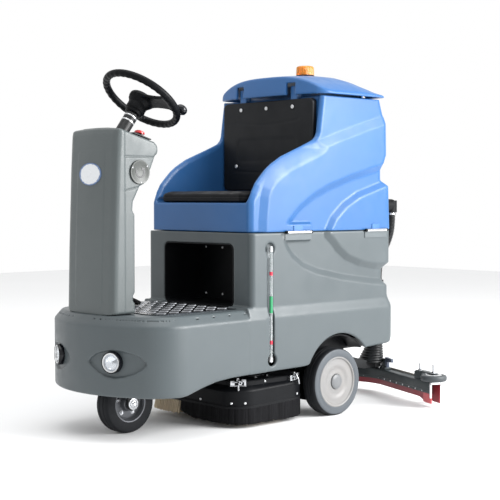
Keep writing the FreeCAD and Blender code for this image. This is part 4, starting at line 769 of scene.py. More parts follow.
TYRE = finish("tyre_rubber", (0.008, 0.009, 0.011), 0.62, spread=0.22, grain=0.35, size=300, wear=0.15,
              scale=9, shine=0.15)
TYRE_SIDE = finish("tyre_side", (0.075, 0.084, 0.094), 0.5, spread=0.08, grain=0.22, size=300, scale=9,
                   shine=0.25)
RIM_LIGHT = finish("rim_plastic", (0.20, 0.20, 0.20), 0.38, spread=0.04, grain=0.10, size=260,
                   tint=(0.19, 0.182, 0.175), scale=7, shine=0.4)
HUB_CAP = finish("hub_cap", (0.13, 0.135, 0.14), 0.35, spread=0.05, grain=0.12, shine=0.4)
RIM_DARK = finish("rim_cast", (0.10, 0.105, 0.115), 0.35, metal=0.4, spread=0.1, grain=0.2, size=200)
ROLLER = finish("roller_grey", (0.040, 0.046, 0.050), 0.5, spread=0.08, grain=0.2, wear=0.3, shine=0.3)
VINYL = finish("seat_vinyl", (0.003, 0.0035, 0.005), 0.40, spread=0.12, grain=0.5, size=620, cell=True,
               wear=0.04, depth=0.0006, shine=0.12)
FOAM = finish("backrest_skin", (0.0045, 0.0055, 0.0075), 0.46, spread=0.12, grain=0.45, size=520, cell=True,
              wear=0.1, depth=0.0006, shine=0.2)
RED_RUBBER = finish("blade_rubber", (0.20, 0.012, 0.022), 0.42, spread=0.12, grain=0.2, size=260, wear=0.2)
HEAD = finish("squeegee_head", (0.030, 0.038, 0.041), 0.40, metal=0.2, spread=0.12, grain=0.25, size=180,
              wear=0.3, shine=0.3)
HOSE = finish("hose_black", (0.004, 0.005, 0.006), 0.36, spread=0.15, grain=0.2, wear=0.25, shine=0.3)
BRISTLE = finish("bristle_black", (0.006, 0.006, 0.007), 0.6, spread=0.5, grain=0.9, size=380,
                 streak=(1, 1, 0.03), scale=120, depth=0.002, shine=0.06)
TUFT = finish("brush_beige", (0.60, 0.50, 0.36), 0.6, spread=0.16, grain=0.5, size=700, streak=(1, 1, 0.1),
              scale=60, shine=0.2)
BADGE = finish("badge_white", (0.62, 0.64, 0.66), 0.25, spread=0.02, grain=0.03, coat=0.4)
BADGE_RING = finish("badge_ring", (0.10, 0.16, 0.30), 0.3, spread=0.04, grain=0.05)
RED = finish("button_red", (0.42, 0.012, 0.014), 0.25, spread=0.06, grain=0.05, coat=0.3)
PANEL = finish("panel_dark", (0.008, 0.009, 0.011), 0.45, spread=0.1, grain=0.25, size=500, shine=0.2)
PLATE = finish("disc_plate", (0.045, 0.050, 0.046), 0.40, spread=0.10, grain=0.35, size=240)
BATTERY = finish("battery_case", (0.030, 0.032, 0.036), 0.5, spread=0.12, grain=0.3, size=300)
WHITE = finish("screw_white", (0.62, 0.63, 0.64), 0.28, metal=0.6, spread=0.05, grain=0.05)
TIP_RED = finish("blade_tip", (0.42, 0.055, 0.065), 0.35, spread=0.12, grain=0.15, size=260, wear=0.3)
PALE = finish("pale_strip", (0.45, 0.43, 0.39), 0.35, metal=0.2, spread=0.06, grain=0.1)
SLATE = finish("lever_slate", (0.06, 0.075, 0.11), 0.4, spread=0.1, grain=0.2)
RED_MARK = finish("mark_red", (0.55, 0.02, 0.05), 0.4, spread=0.04, grain=0.05)
GREEN_MARK = finish("mark_green", (0.02, 0.25, 0.10), 0.4, spread=0.04, grain=0.05)
CLEAR = finish("clear_lens", (0.93, 0.95, 0.97), 0.05, spread=0.01, grain=0.02, clear=1.0, rough_spread=0.02)
TUBE = finish("gauge_tube", (0.90, 0.94, 0.95), 0.08, spread=0.02, grain=0.02, clear=0.85, rough_spread=0.03)
AMBER = finish("amber_lens", (1.0, 0.42, 0.02), 0.10, spread=0.04, grain=0.05, clear=0.72, rough_spread=0.03)
BULB = finish("bulb_holder", (0.30, 0.05, 0.02), 0.3, spread=0.1, grain=0.05)


# ---------------------------------------------------------------- hoses

UPPER_HOSE = [(250, 636, 840), (250, 636, 786), (245, 627, 732), (229, 604, 668), (212, 592, 608),
              (212, 592, 543)]
LOWER_HOSE = [(212, 592, 492), (212, 592, 440), (198, 607, 386), (168, 640, 346), (130, 682, 320),
              (88, 728, 298), (46, 776, 270), (12, 817, 228), (0, 831, 174)]
HOSE_RADIUS, HOSE_SIDES = 22, 28
RIB_PITCH, RIB_RINGS, RIB_DEPTH = 6.2, 6, 3.0


def spline_line(points):
    """Points along the smooth line of a route, in millimetres."""
    curve = bpy.data.curves.new("route", "CURVE")
    curve.dimensions = "3D"
    spline = curve.splines.new("NURBS")
    spline.points.add(len(points) - 1)
    for control, point in zip(spline.points, points):
        control.co = (*[value * MM for value in point], 1)
    spline.order_u = 3
    spline.use_endpoint_u = True
    spline.resolution_u = 24
    holder = add_object("route", curve)
    bpy.context.view_layer.update()
    made = bpy.data.meshes.new_from_object(holder.evaluated_get(bpy.context.evaluated_depsgraph_get()))
    line = np.array([vert.co for vert in made.vertices]) / MM
    bpy.data.objects.remove(holder)
    bpy.data.curves.remove(curve)
    bpy.data.meshes.remove(made)
    return line


def ribbed_hose(name, points):
    """A corrugated tube along a route, and the line that it follows."""
    line = spline_line(points)
    lengths = np.concatenate([[0], np.cumsum(np.linalg.norm(np.diff(line, axis=0), axis=1))])
    total = lengths[-1]
    rings = int(round(total / RIB_PITCH)) * RIB_RINGS
    places = np.linspace(0, total, rings + 1)
    centre = np.stack([np.interp(places, lengths, line[:, k]) for k in range(3)], 1)
    along = np.gradient(centre, axis=0)
    along /= np.linalg.norm(along, axis=1)[:, None]
    side = np.cross(along[0], (0, 1, 0.2))
    rows = []
    for index in range(rings + 1):
        side = side - along[index] * (side @ along[index])
        side /= np.linalg.norm(side)
        up = np.cross(along[index], side)
        wave = 0.5 + 0.5 * math.cos(2 * math.pi * index / RIB_RINGS)
        radius = HOSE_RADIUS - RIB_DEPTH * (1 - wave) ** 1.3
        angles = np.arange(HOSE_SIDES) * 2 * math.pi / HOSE_SIDES
        rows.append(centre[index] + radius * (np.cos(angles)[:, None] * side + np.sin(angles)[:, None] * up))
    kit = Kit()
    kit.loft(rows)
    thing = kit.done(name, None, HOSE, sharp=60)
    return thing, centre * MM


upper_hose, upper_line = ribbed_hose("upper_suction_hose", UPPER_HOSE)
lower_hose, lower_line = ribbed_hose("lower_suction_hose", LOWER_HOSE)
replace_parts(upper_hose, "suction_hose_upper")
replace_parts(lower_hose, "suction_hose_lower")
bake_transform(upper_hose)
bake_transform(lower_hose)

# ---------------------------------------------------------------- the large mouldings


def shell(name, shape, low, high, cell, body, material):
    """A moulded shell in its finish."""
    thing = paint(moulding(name, shape, low, high, cell, body), material)
    return thing


grey = shell("grey_body", grey_shape, (-366, -870, 166), (366, 582, 776), 5.2, "chassis", GREY)
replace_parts(grey, "solution_tank", "front_bumper")
blue = shell("blue_tank", blue_shape, (-328, -274, 758), (328, 582, 1378), 5.2, "recovery_tank", BLUE)
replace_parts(blue, "recovery_tank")
lid = shell("blue_lid", lid_shape, (-334, 84, 1322), (334, 540, 1436), 4.4, "tank_lid", BLUE)
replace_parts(lid, "tank_lid")
pod = shell("steering_pod", pod_shape, (-156, -824, 458), (156, -574, 1178), 4.2, "chassis", POD_GREY)
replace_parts(pod, "column_housing")
wheel = shell("steering_wheel_grip", wheel_shape, (-176, -700, 1170), (176, -400, 1400), 3.2,
              "steering_wheel", BLACK)
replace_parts(wheel, "steering_wheel")


def lid_hinge_rods():
    """Rods and leaves of the lid's rear hinges."""
    hinge_rods = Kit()
    for side in (1, -1):
        hinge_rods.rod((side * 162, 534, 1330), (side * 206, 534, 1330), 4)
        low, high = sorted((side * 160, side * 190))
        hinge_rods.box((low, 514, 1327), (high, 538, 1333), 2)
    hinge_rods.done("lid_hinge_rods", "tank_lid", STEEL)


lid_hinge_rods()


# ---------------------------------------------------------------- seat


def fill_out(thing, pressure, steps, cap):
    """Blow a padded form up a little with a cloth simulation, with a limit on how far a point moves."""
    rest = np.array([vert.co for vert in thing.data.vertices])
    cloth = thing.modifiers.new("fill", "CLOTH")
    cloth.settings.use_pressure = True
    cloth.settings.uniform_pressure_force = pressure
    cloth.settings.effector_weights.gravity = 0
    cloth.settings.quality = 4
    cloth.point_cache.frame_start = 1
    cloth.point_cache.frame_end = steps
    scene = bpy.context.scene
    for step in range(1, steps + 1):
        scene.frame_set(step)
    evaluated = thing.evaluated_get(bpy.context.evaluated_depsgraph_get())
    moved = np.array([vert.co for vert in evaluated.data.vertices])
    thing.modifiers.remove(cloth)
    scene.frame_set(1)
    shift = moved - rest
    far = np.linalg.norm(shift, axis=1)
    shift *= np.minimum(1, cap / np.maximum(far, 1e-9))[:, None]
    return rest + shift


CUSHION_MIDDLE = 80


def shaped_cushion(points):
    """The filled cushion with its crown, thigh hollows, cross channel and raised edge."""
    x, y, z = points.T
    top = np.clip((z - 900) / 18, 0, 1)
    crown = 5.0 * np.clip(1 - (x / 268) ** 2, 0, 1) * np.clip(1 - ((y + CUSHION_MIDDLE) / 190) ** 2, 0, 1)
    thigh = 4.0 * np.exp(-((np.abs(x) - 130) / 70) ** 2) * np.exp(-((y + 190) / 80) ** 2)
    channel = 2.6 * np.exp(-((y + 20) / 6) ** 2) * np.clip((240 - np.abs(x)) / 20, 0, 1)
    rim = np.maximum(np.abs(x) / 262, np.abs(y + CUSHION_MIDDLE) / 173)
    edge = 1.6 * np.exp(-((rim - 0.97) / 0.018) ** 2)
    z = z + top * (crown * 0.6 - thigh * 0.3 - channel + edge * 0.8 - 0.5)
    return np.stack([np.clip(x, -272, 272), np.clip(y, -267, 108), np.clip(z, 884.6, 931)], 1)


def seat_cushion():
    """Padded seat cushion, filled by a cloth simulation, with piping round its rim."""
    cushion = moulding("seat_cushion_cover", cushion_shape, (-276, -272, 880), (276, 110, 930), 6.5)
    filled = fill_out(cushion, pressure=4.0, steps=20, cap=0.010)
    cushion.data.vertices.foreach_set("co", filled.ravel())
    points = shaped_cushion(np.array([vert.co for vert in cushion.data.vertices]) / MM)
    cushion.data.vertices.foreach_set("co", (points * MM).ravel())
    cushion.data.update()
    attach(paint(cushion, VINYL), "recovery_tank")
    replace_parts(cushion, "seat_cushion")
    seam = Kit()
    plan = rounded_plan([(-269, -262, 36), (269, -262, 36), (269, 103, 26), (-269, 103, 26)], 12)
    rows = []
    for turn in np.arange(8) * math.pi / 4:
        grown = 1.6 * math.cos(turn)
        rows.append([(px * (1 + grown / 270), (py + CUSHION_MIDDLE) * (1 + grown / 185) - CUSHION_MIDDLE,
                      903 + 1.6 * math.sin(turn)) for px, py in plan])
    seam.loft(rows + rows[:1], caps=False)
    seam.done("seat_cushion_piping", "recovery_tank", VINYL)


def backrest():
    """Padded back rest and its screws."""
    back = moulding("backrest_pad", backrest_shape, (-280, 104, 928), (280, 152, 1322), 4.4, "recovery_tank")
    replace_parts(paint(back, FOAM), "backrest_panel")
    screws = Kit()
    for x, z in ((-156, 1282), (0, 1282), (156, 1282), (-186, 1040), (186, 1040)):
        screws.turned([(0, 0), (8.5, 0), (7.5, 2.2), (4.5, 3.2), (4, 1.6), (0, 1.6)], (x, 116.5, z),
                      (0, -1, 0), 20)
    screws.done("backrest_screws", "recovery_tank", WHITE)


seat_cushion()
backrest()


# ---------------------------------------------------------------- wheels


def ring(radius, count, start=0.0):
    """Angles and places of so many points round a circle."""
    return [(angle, radius * math.cos(angle), radius * math.sin(angle))
            for angle in (start + 2 * math.pi * k / count for k in range(count))]


def dressed(kit, name, body, slot, *materials, replaces=(), sharp=32):
    thing = kit.done(name, body, *materials, sharp=sharp)
    if replaces:
        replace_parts(thing, *replaces)
    return thing


def looks(kit, node, body, slot, *materials, sharp=32):
    return dressed(kit, node + "_looks", body, slot, *materials, replaces=(node,), sharp=sharp)


TREAD_SHAPE = [(105, 3), (128, 1.4), (134, 3.4), (138.4, 8), (140, 14), (140, 27), (137.6, 28.5),
               (137.6, 31.5), (140, 33), (140, 43), (137.6, 44.5), (137.6, 47.5), (140, 49), (140, 62),
               (138.4, 68), (135, 71.6), (105, 71.6), (105, 3)]
SIDE_RING = [(104.6, 66), (105.2, 73.8), (107.5, 74.6), (112, 74.9), (113, 74.2), (114, 74.9), (126, 75.1),
             (131, 74.6), (134.4, 72.4), (134.8, 66)]
RIM_SHAPE = [(0, 59.5), (12.4, 59.5), (12.4, 2), (31, 2), (34, 40), (93, 46), (95.5, 5), (104.8, 4),
             (104.8, 73.6), (103.6, 74.8), (101, 75), (98.4, 74), (96.8, 71), (94.5, 68.8), (90, 68.2),
             (80, 68.6), (74, 69.6), (68, 69.4), (62, 67.6), (57, 65.4), (52, 64.6), (43, 65.4), (37, 66.8),
             (33.4, 66.4), (31.6, 64.8), (31.6, 62), (0, 62)]


def rear_wheels():
    """Tyres and dished rims of the two rear wheels."""
    for side, name in ((1, "left"), (-1, "right")):
        spot, way = (side * REAR_X, REAR_Y, REAR_Z), (side, 0, 0)
        tyre, rim = Kit(), Kit()
        tyre.turned(TREAD_SHAPE, spot, way, 96)
        tyre.turned(SIDE_RING, spot, way, 96, mark=1)
        looks(tyre, "rear_tyre_" + name, "rear_wheel_" + name, "tyre_grey", TYRE, TYRE_SIDE)
        rim.turned(RIM_SHAPE, spot, way, 96)
        rim.turned([(31, 62), (31, 68.6), (29.8, 71), (26, 73.2), (18, 74.8), (8, 75.4), (0, 75.5)], spot,
                   way, 48, mark=1)
        looks(rim, "rear_rim_" + name, "rear_wheel_" + name, "rim_grey", RIM_LIGHT, HUB_CAP, sharp=24)


rear_wheels()
STEER_Y, DRIVE_Z = -640, 115


def drive_wheel():
    """Tyre, rim and wheel bolts of the steered front wheel."""
    drive = Kit()
    spot = (0, STEER_Y, DRIVE_Z)
    drive.turned([(72, -33), (103, -35), (108.6, -33.8), (113.2, -29), (115, -23), (115, -14.5),
                  (112.6, -13), (112.6, -10.5), (115, -9), (115, 9), (112.6, 10.5), (112.6, 13), (115, 14.5),
                  (115, 23), (113.2, 29), (108.6, 33.8), (103, 35), (72, 33), (72, -33)], spot, (1, 0, 0), 80)
    looks(drive, "drive_tyre", "drive_wheel", "tyre_black", TYRE)
    hub = Kit()
    hub.turned([(10.6, -33), (26, -33.6), (29, -31), (32, -13), (57, -11), (61, -14), (66, -30),
                (68.5, -33.4), (72.4, -34), (72.4, 34), (68.5, 33.4), (66, 30), (61, 14), (57, 11), (32, 13),
                (29, 31), (26, 33.6), (10.6, 33), (10.6, -33)], spot, (1, 0, 0), 64)
    for angle, dy, dz in ring(45, 5, 0.3):
        for side in (1, -1):
            hub.bolt((side * 11.5, STEER_Y + dy, DRIVE_Z + dz), (side, 0, 0), 6, 5, mark=1)
    looks(hub, "drive_rim", "drive_wheel", "frame_paint", RIM_DARK, STEEL)


drive_wheel()


def drive_fork():
    """Fork legs, axle, crown, pivot and chain sprocket of the front wheel."""
    fork = Kit()
    leg_plan = rounded_plan([(STEER_Y - 26, 90, 24), (STEER_Y + 26, 90, 24), (STEER_Y + 22, 214, 30),
                             (STEER_Y + 46, 247.5, 3), (STEER_Y - 46, 247.5, 3), (STEER_Y - 22, 214, 30)], 8)
    for side in (1, -1):
        low, high = sorted((side * 41, side * 51))
        fork.slab(leg_plan, low, high, 1.4, way="x")
        fork.turned([(10, 0), (23, 0), (23, 2.2), (21.5, 3), (18, 3), (17, 2), (15.5, 2), (15, 5), (12, 6.5),
                     (10, 6.5)], (side * 51, STEER_Y, DRIVE_Z), (side, 0, 0), 40, mark=1)
        fork.bolt((side * 56, STEER_Y, DRIVE_Z), (side, 0, 0), 9, 5, mark=1)
        for dz in (186, 214):
            fork.bolt((side * 51, STEER_Y, dz), (side, 0, 0), 5, 4, mark=1)
    fork.rod((-56, STEER_Y, DRIVE_Z), (56, STEER_Y, DRIVE_Z), 10, mark=1)
    fork.slab(rounded_plan([(-51, STEER_Y - 48, 12), (51, STEER_Y - 48, 12), (51, STEER_Y + 48, 12),
                            (-51, STEER_Y + 48, 12)], 6), 236, 248, 1.5)
    fork.rod((0, STEER_Y, 246), (0, STEER_Y, 329), 25, mark=1)
    teeth = []
    for k in range(112):
        angle = 2 * math.pi * k / 112
        reach = 42.5 + (1.6 if k % 4 in (1, 2) else 0)
        teeth.append((reach * math.cos(angle), STEER_Y + reach * math.sin(angle)))
    fork.slab(teeth, 319, 329, 1, mark=1)
    looks(fork, "drive_fork", "drive_fork", "frame_paint", PAINT, STEEL)


drive_fork()


def arch_shade_sheets():
    """Thin black sheets in the rear wheel arches: painted shade standing in for the dark inside of the
    arches.
    """
    shade_sheets = Kit()
    for side in (1, -1):
        rows = []
        for x, radius in ((236, 192), (238, 196), (318, 197.6), (318, 193), (240, 191), (240, 60)):
            rows.append([(side * x, REAR_Y + radius * math.cos(angle),
                          max(REAR_Z + radius * math.sin(angle), 232))
                         for angle in np.radians(np.linspace(152, 43, 40))])
        shade_sheets.loft(rows, caps=False, closed=False)
    # painted shade: black sheets where the arches' grey moulding lies only in shade
    dressed(shade_sheets, "wheel_arch_painted_shade", "chassis", "black_plastic", BLACK)


arch_shade_sheets()

# ---------------------------------------------------------------- brush deck


def deck_plan(inset):
    """Plan of the brush deck, drawn in by an inset."""
    x, front, rear = 285 - inset, inset - 310, 118 - inset
    return rounded_plan([(-x, front, 98 - inset), (x, front, 98 - inset), (x, rear, 140 - inset),
                         (-x, rear, 140 - inset)], 14)


def deck_level(y, level):
    """A height on the deck's outside, which slopes down a little towards the front."""
    return level + 0.03 * (y - 60)


def toggle_clamp(kit, place, angle):
    """A bright toggle clamp on the deck's edge: base, lever, hook and its rivets."""
    turn = Matrix.Rotation(angle, 3, "Z")
    place = Vector(place)
    kit.box((-32, -9, 165), (32, 9, 168), 1, place, turn, mark=1)
    for low, high, top in ((-31, -14, 186), (-6, 3, 198), (14, 31, 192)):
        kit.box((low, -7, 167), (high, 7, top), 1.6, place, turn, mark=1)
    for spot, end in (((-22, -9, 180), (22, -9, 184)), ((0, -10, 192), (0, -24, 170)),
                      ((0, -24, 171), (0, -27, 150))):
        kit.rod(turn @ Vector(spot) + place, turn @ Vector(end) + place, 3.2, mark=1)
    kit.turned([(4, -1.5), (8, -1.5), (8, 1.5), (4, 1.5), (4, -1.5)], turn @ Vector((8, -10, 178)) + place,
               turn @ Vector((0, -1, 0)), 20, mark=1)


BRUSH_X, BRUSH_Y = 140, -118
DECK_OUTSIDE = [(9, 158), (9, 90), (3, 88), (0, 89), (0, 97), (1.6, 99), (1.6, 150), (0.6, 151.5),
                (0.6, 154.5), (2.5, 159), (7, 163.4)]
DECK_TOP = [(15, 165), (18, 166.5), (18, 182), (20, 185), (26, 186)]
DECK_SCREWS = [(63, -310, 0, -1), (233, -298.4, 0.47, -0.88), (272.4, -260, 0.87, -0.49),
               (277.2, 24, 0.94, 0.33), (-63, -310, 0, -1), (-233, -298.4, -0.47, -0.88),
               (-272.4, -260, -0.87, -0.49), (-277.2, 24, -0.94, 0.33), (0, 118, 0, 1), (110, 118, 0, 1),
               (-110, 118, 0, 1)]


def deck_housing():
    """Brush deck's housing with its post, screws, bolts and toggle clamps."""
    deck = Kit()
    deck.loft([[(px, py, deck_level(py, z)) for px, py in deck_plan(inset)] for inset, z in DECK_OUTSIDE]
              + [[(px, py, z) for px, py in deck_plan(inset)] for inset, z in DECK_TOP])
    deck.rod((0, -20, 160), (0, -20, 259), 8, mark=1)
    for px, py, nx, ny in DECK_SCREWS:
        deck.screw((px, py, deck_level(py, 110)), (nx, ny, 0), 5, mark=2)
    for px, py, angle in ((236, -264, 0.85), (267, 14, 1.75), (-236, -264, -0.85), (-267, 14, -1.75)):
        toggle_clamp(deck, (px, py, 0), angle)
    for side in (1, -1):
        deck.screw((side * 267.2, -148, 176), (side, 0, 0), 4.5, mark=2)
    for px, py in ((214, -150), (214, -86), (-214, -150), (-214, -86), (90, -280), (-90, -280)):
        deck.bolt((px, py, 186), (0, 0, 1), 5, 4, mark=1)
    looks(deck, "deck_housing", "brush_deck", "black_plastic", BLACK, STEEL, WHITE)


def along_plan(plan, pitch):
    """Points every so far along a closed plan."""
    plan = np.array(plan)
    loop = np.vstack([plan, plan[:1]])
    lengths = np.concatenate([[0], np.cumsum(np.linalg.norm(np.diff(loop, axis=0), axis=1))])
    places = np.linspace(0, lengths[-1], int(lengths[-1] / pitch) + 1)[:-1]
    return np.stack([np.interp(places, lengths, loop[:, k]) for k in range(2)], 1)


chance = np.random.default_rng(7)
SKIRT_ROOT = 93


def bristle_skirt():
    """Ragged skirt of bristles round the deck, shorter at the front right."""
    outside = along_plan(deck_plan(1.5), 1.7)
    start = int(np.argmin(np.abs(outside[:, 0] + 60) + np.where(outside[:, 1] < -300, 0, 1e4)))
    outside = np.roll(outside, -start, axis=0)
    outside = outside[:int(np.argmax((outside[:, 0] < -280) & (outside[:, 1] < -118)))]
    outward = np.gradient(outside, axis=0)
    outward = np.stack([outward[:, 1], -outward[:, 0]], 1)
    outward /= np.linalg.norm(outward, axis=1)[:, None]
    count = len(outside)
    lump = chance.uniform(-1, 1, count) * 0.5 + np.where(np.arange(count) % 2, 0.35, -0.35)
    knots = np.arange(0, count + 9, 9)
    clump = np.interp(np.arange(count), knots, chance.uniform(-1, 1, count // 9 + 2)[:len(knots)])
    tip = 16.2 + chance.uniform(0, 3.5, count) + 1.4 * clump
    tip += 18 * np.clip((outside[:, 0] * -1 + 18) / 78, 0, 1) * (outside[:, 1] < -300)
    rows = []
    for push, level, ragged in ((0, SKIRT_ROOT, 0), (0.6, 80, 1), (1.0, 60, 1), (1.1, 36, 1), (1.3, None, 1),
                                (-6, None, 0), (-8, SKIRT_ROOT, 0)):
        offset = np.clip(push + ragged * (lump * 0.9 + clump * 0.7), -9, 1.4)
        heights = tip if level is None else np.full(count, level)
        rows.append(np.column_stack([outside + outward * offset[:, None], heights]))
    bristles = Kit()
    bristles.loft(rows, caps=False, closed=False)
    dressed(bristles, "deck_bristle_skirt", "brush_deck", "bristle_black", BRISTLE, replaces=("deck_skirt",),
            sharp=70)


def front_tufts():
    """Row of pale tufts where the skirt is open at the front right."""
    fringe = Kit()
    edge = along_plan(deck_plan(7), 10.5)
    for px, py in edge[(edge[:, 0] < -64) & (edge[:, 1] < -225)]:
        away = Vector((px + BRUSH_X, py - BRUSH_Y, 0)).normalized()
        top = Vector((px, py, 92))
        end = Vector((px - 12 + chance.uniform(-1, 1), py - 1.5, 24 + chance.uniform(-2, 2))) + away
        run = end - top
        fringe.turned([(3.2, 0), (3.8, run.length * 0.6), (4.6, run.length - 0.5), (0, run.length)], top,
                      run, 9)
    dressed(fringe, "deck_front_tufts", "brush_deck", "brush_beige", TUFT, sharp=50)


def axle_shroud():
    """Ribbed dark cover between the rear wheels."""
    shroud = Kit()
    shroud.box((-228, 150, 58), (228, 196, 262), 6)
    for x in range(-200, 201, 50):
        shroud.box((x - 3, 144, 70), (x + 3, 152, 255), 1.5)
    dressed(shroud, "rear_axle_shroud", "chassis", "black_plastic", BLACK)


def brush_motors():
    """Finned motors over the two brushes."""
    motors = Kit()
    profile = [(0, 186), (58, 186), (58, 190), (52, 191), (50, 193)]
    for base in range(196, 251, 9):
        profile += [(50, base), (52, base + 1), (52, base + 4), (50, base + 5)]
    profile += [(50, 262), (46, 269), (36, 271.5), (0, 272)]
    for side in (1, -1):
        middle = side * BRUSH_X
        motors.turned(profile, (middle, BRUSH_Y, 0), sides=48)
        for _, dx, dy in ring(40, 4, 0.8):
            motors.bolt((middle + dx, BRUSH_Y + dy, 268), (0, 0, 1), 4, 3, mark=1)
        motors.box((middle - 14, -180, 200), (middle + 14, -166, 240), 2)
    looks(motors, "brush_motors", "brush_deck", "frame_paint", PAINT, STEEL)


BRUSH_DISC = [(0, 50), (60, 50), (62, 48.5), (128, 48.5), (132, 51), (132, 61), (129.5, 64.5), (124, 65.5),
              (70, 66), (62, 70), (34, 72), (30, 76), (16, 90), (12, 96), (12, 157), (0, 157)]
TUFT_ROWS = ((70, 10.5, 0.08), (81, 10.5, 0.08), (92, 10.5, 0.08), (103, 10.5, 0.08), (114, 10.5, 0.08),
             (123, 9.5, 0.16))


def brushes():
    """Disc brushes with rings of leaning tufts, the outermost leaning more."""
    for side, name in ((1, "left"), (-1, "right")):
        brush = Kit()
        brush.turned(BRUSH_DISC, (side * BRUSH_X, BRUSH_Y, 0), sides=64)
        for row, (radius, pitch, lean) in enumerate(TUFT_ROWS):
            for _, dx, dy in ring(radius, int(2 * math.pi * radius / pitch), 0.1 * row):
                reach = 1.01 + 0.012 * row + chance.uniform(-0.01, 0.01)
                swing = lean * side + chance.uniform(-0.02, 0.02)
                foot = (dx * math.cos(swing) - dy * math.sin(swing),
                        dx * math.sin(swing) + dy * math.cos(swing))
                top = Vector((side * BRUSH_X + dx, BRUSH_Y + dy, 49.5))
                end = Vector((side * BRUSH_X + foot[0] * reach, BRUSH_Y + foot[1] * reach, 16))
                run = end - top
                brush.turned([(2.6, 0), (3.1, run.length * 0.5), (3.9, run.length - 0.4), (0, run.length)],
                             top, run, 7, mark=1)
        looks(brush, "brush_" + name, "brush_" + name, "brush_beige", BLACK, TUFT, sharp=50)


deck_housing()
bristle_skirt()
front_tufts()
axle_shroud()
brush_motors()
brushes()


# ---------------------------------------------------------------- squeegee

SWEEP_SLOPE = math.radians(22)
SWEEP_COS, SWEEP_SIN = math.cos(SWEEP_SLOPE), math.sin(SWEEP_SLOPE)
SWEEP_APEX, SWEEP_TIP, SWEEP_BEND = 848.8, 496, 227
SWEEP_STEPS = 18
HEAD_HALF, HEAD_TOP, HEAD_LOW = 27, 112, 64
NOZZLE_Y = 831
ROLLER_X, ROLLER_Y = 472, 665
CASTER_X, CASTER_Y, CASTER_Z = 432, 758, 60


def sweep(offset):
    """Points from the right tip to the left, so far behind the squeegee's bowed middle line."""
    centre = SWEEP_APEX - SWEEP_BEND / SWEEP_COS
    radius = SWEEP_BEND + offset
    arc = np.array([(radius * math.sin(angle), centre + radius * math.cos(angle))
                    for angle in np.linspace(-SWEEP_SLOPE, SWEEP_SLOPE, SWEEP_STEPS)])
    tip = np.array([SWEEP_TIP + offset * SWEEP_SIN,
                    SWEEP_APEX - SWEEP_TIP * math.tan(SWEEP_SLOPE) + offset * SWEEP_COS])
    leg = np.linspace(tip, arc[-1], SWEEP_STEPS, endpoint=False)
    return np.vstack([leg * (-1, 1), arc, leg[::-1]])


def swept(kit, section, mark=0):
    """Sweep a section of (offset, height) pairs along the squeegee; a height may depend on x."""
    rings = []
    lines = [sweep(offset) for offset, _ in section]
    for index in range(len(lines[0])):
        rings.append([(*line[index], height(line[index][0]) if callable(height) else height)
                      for line, (_, height) in zip(lines, section)])
    kit.loft(rings, mark)


def head_turn(side):
    """Rotation from along, in front and up of a squeegee arm to the frame's axes."""
    return Matrix(((side * SWEEP_COS, -side * SWEEP_SIN, 0), (-SWEEP_SIN, -SWEEP_COS, 0), (0, 0, 1)))


def head_place(side, along, front, up):
    """A place so far along an arm of the squeegee, in front of its middle line."""
    return head_turn(side) @ Vector((along, front, up)) + Vector((0, SWEEP_APEX, 0))


def head_box(kit, side, low, high, edge=1.2, mark=0):
    """A box lying along an arm of the squeegee."""
    kit.box(low, high, edge, (0, SWEEP_APEX, 0), head_turn(side), mark)


def mirrored(kit, side, low, high, edge=1.5, mark=0):
    """A box given for the left side, or its mirror image on the right."""
    near, far = sorted((side * low[0], side * high[0]))
    kit.box((near, *low[1:]), (far, *high[1:]), edge, mark=mark)


def blade_low(x):
    """The blades' lower edge, lower near the tips."""
    return 40 - 18 * float(np.clip((abs(x) - 392) / 50, 0, 1)) ** 1.5


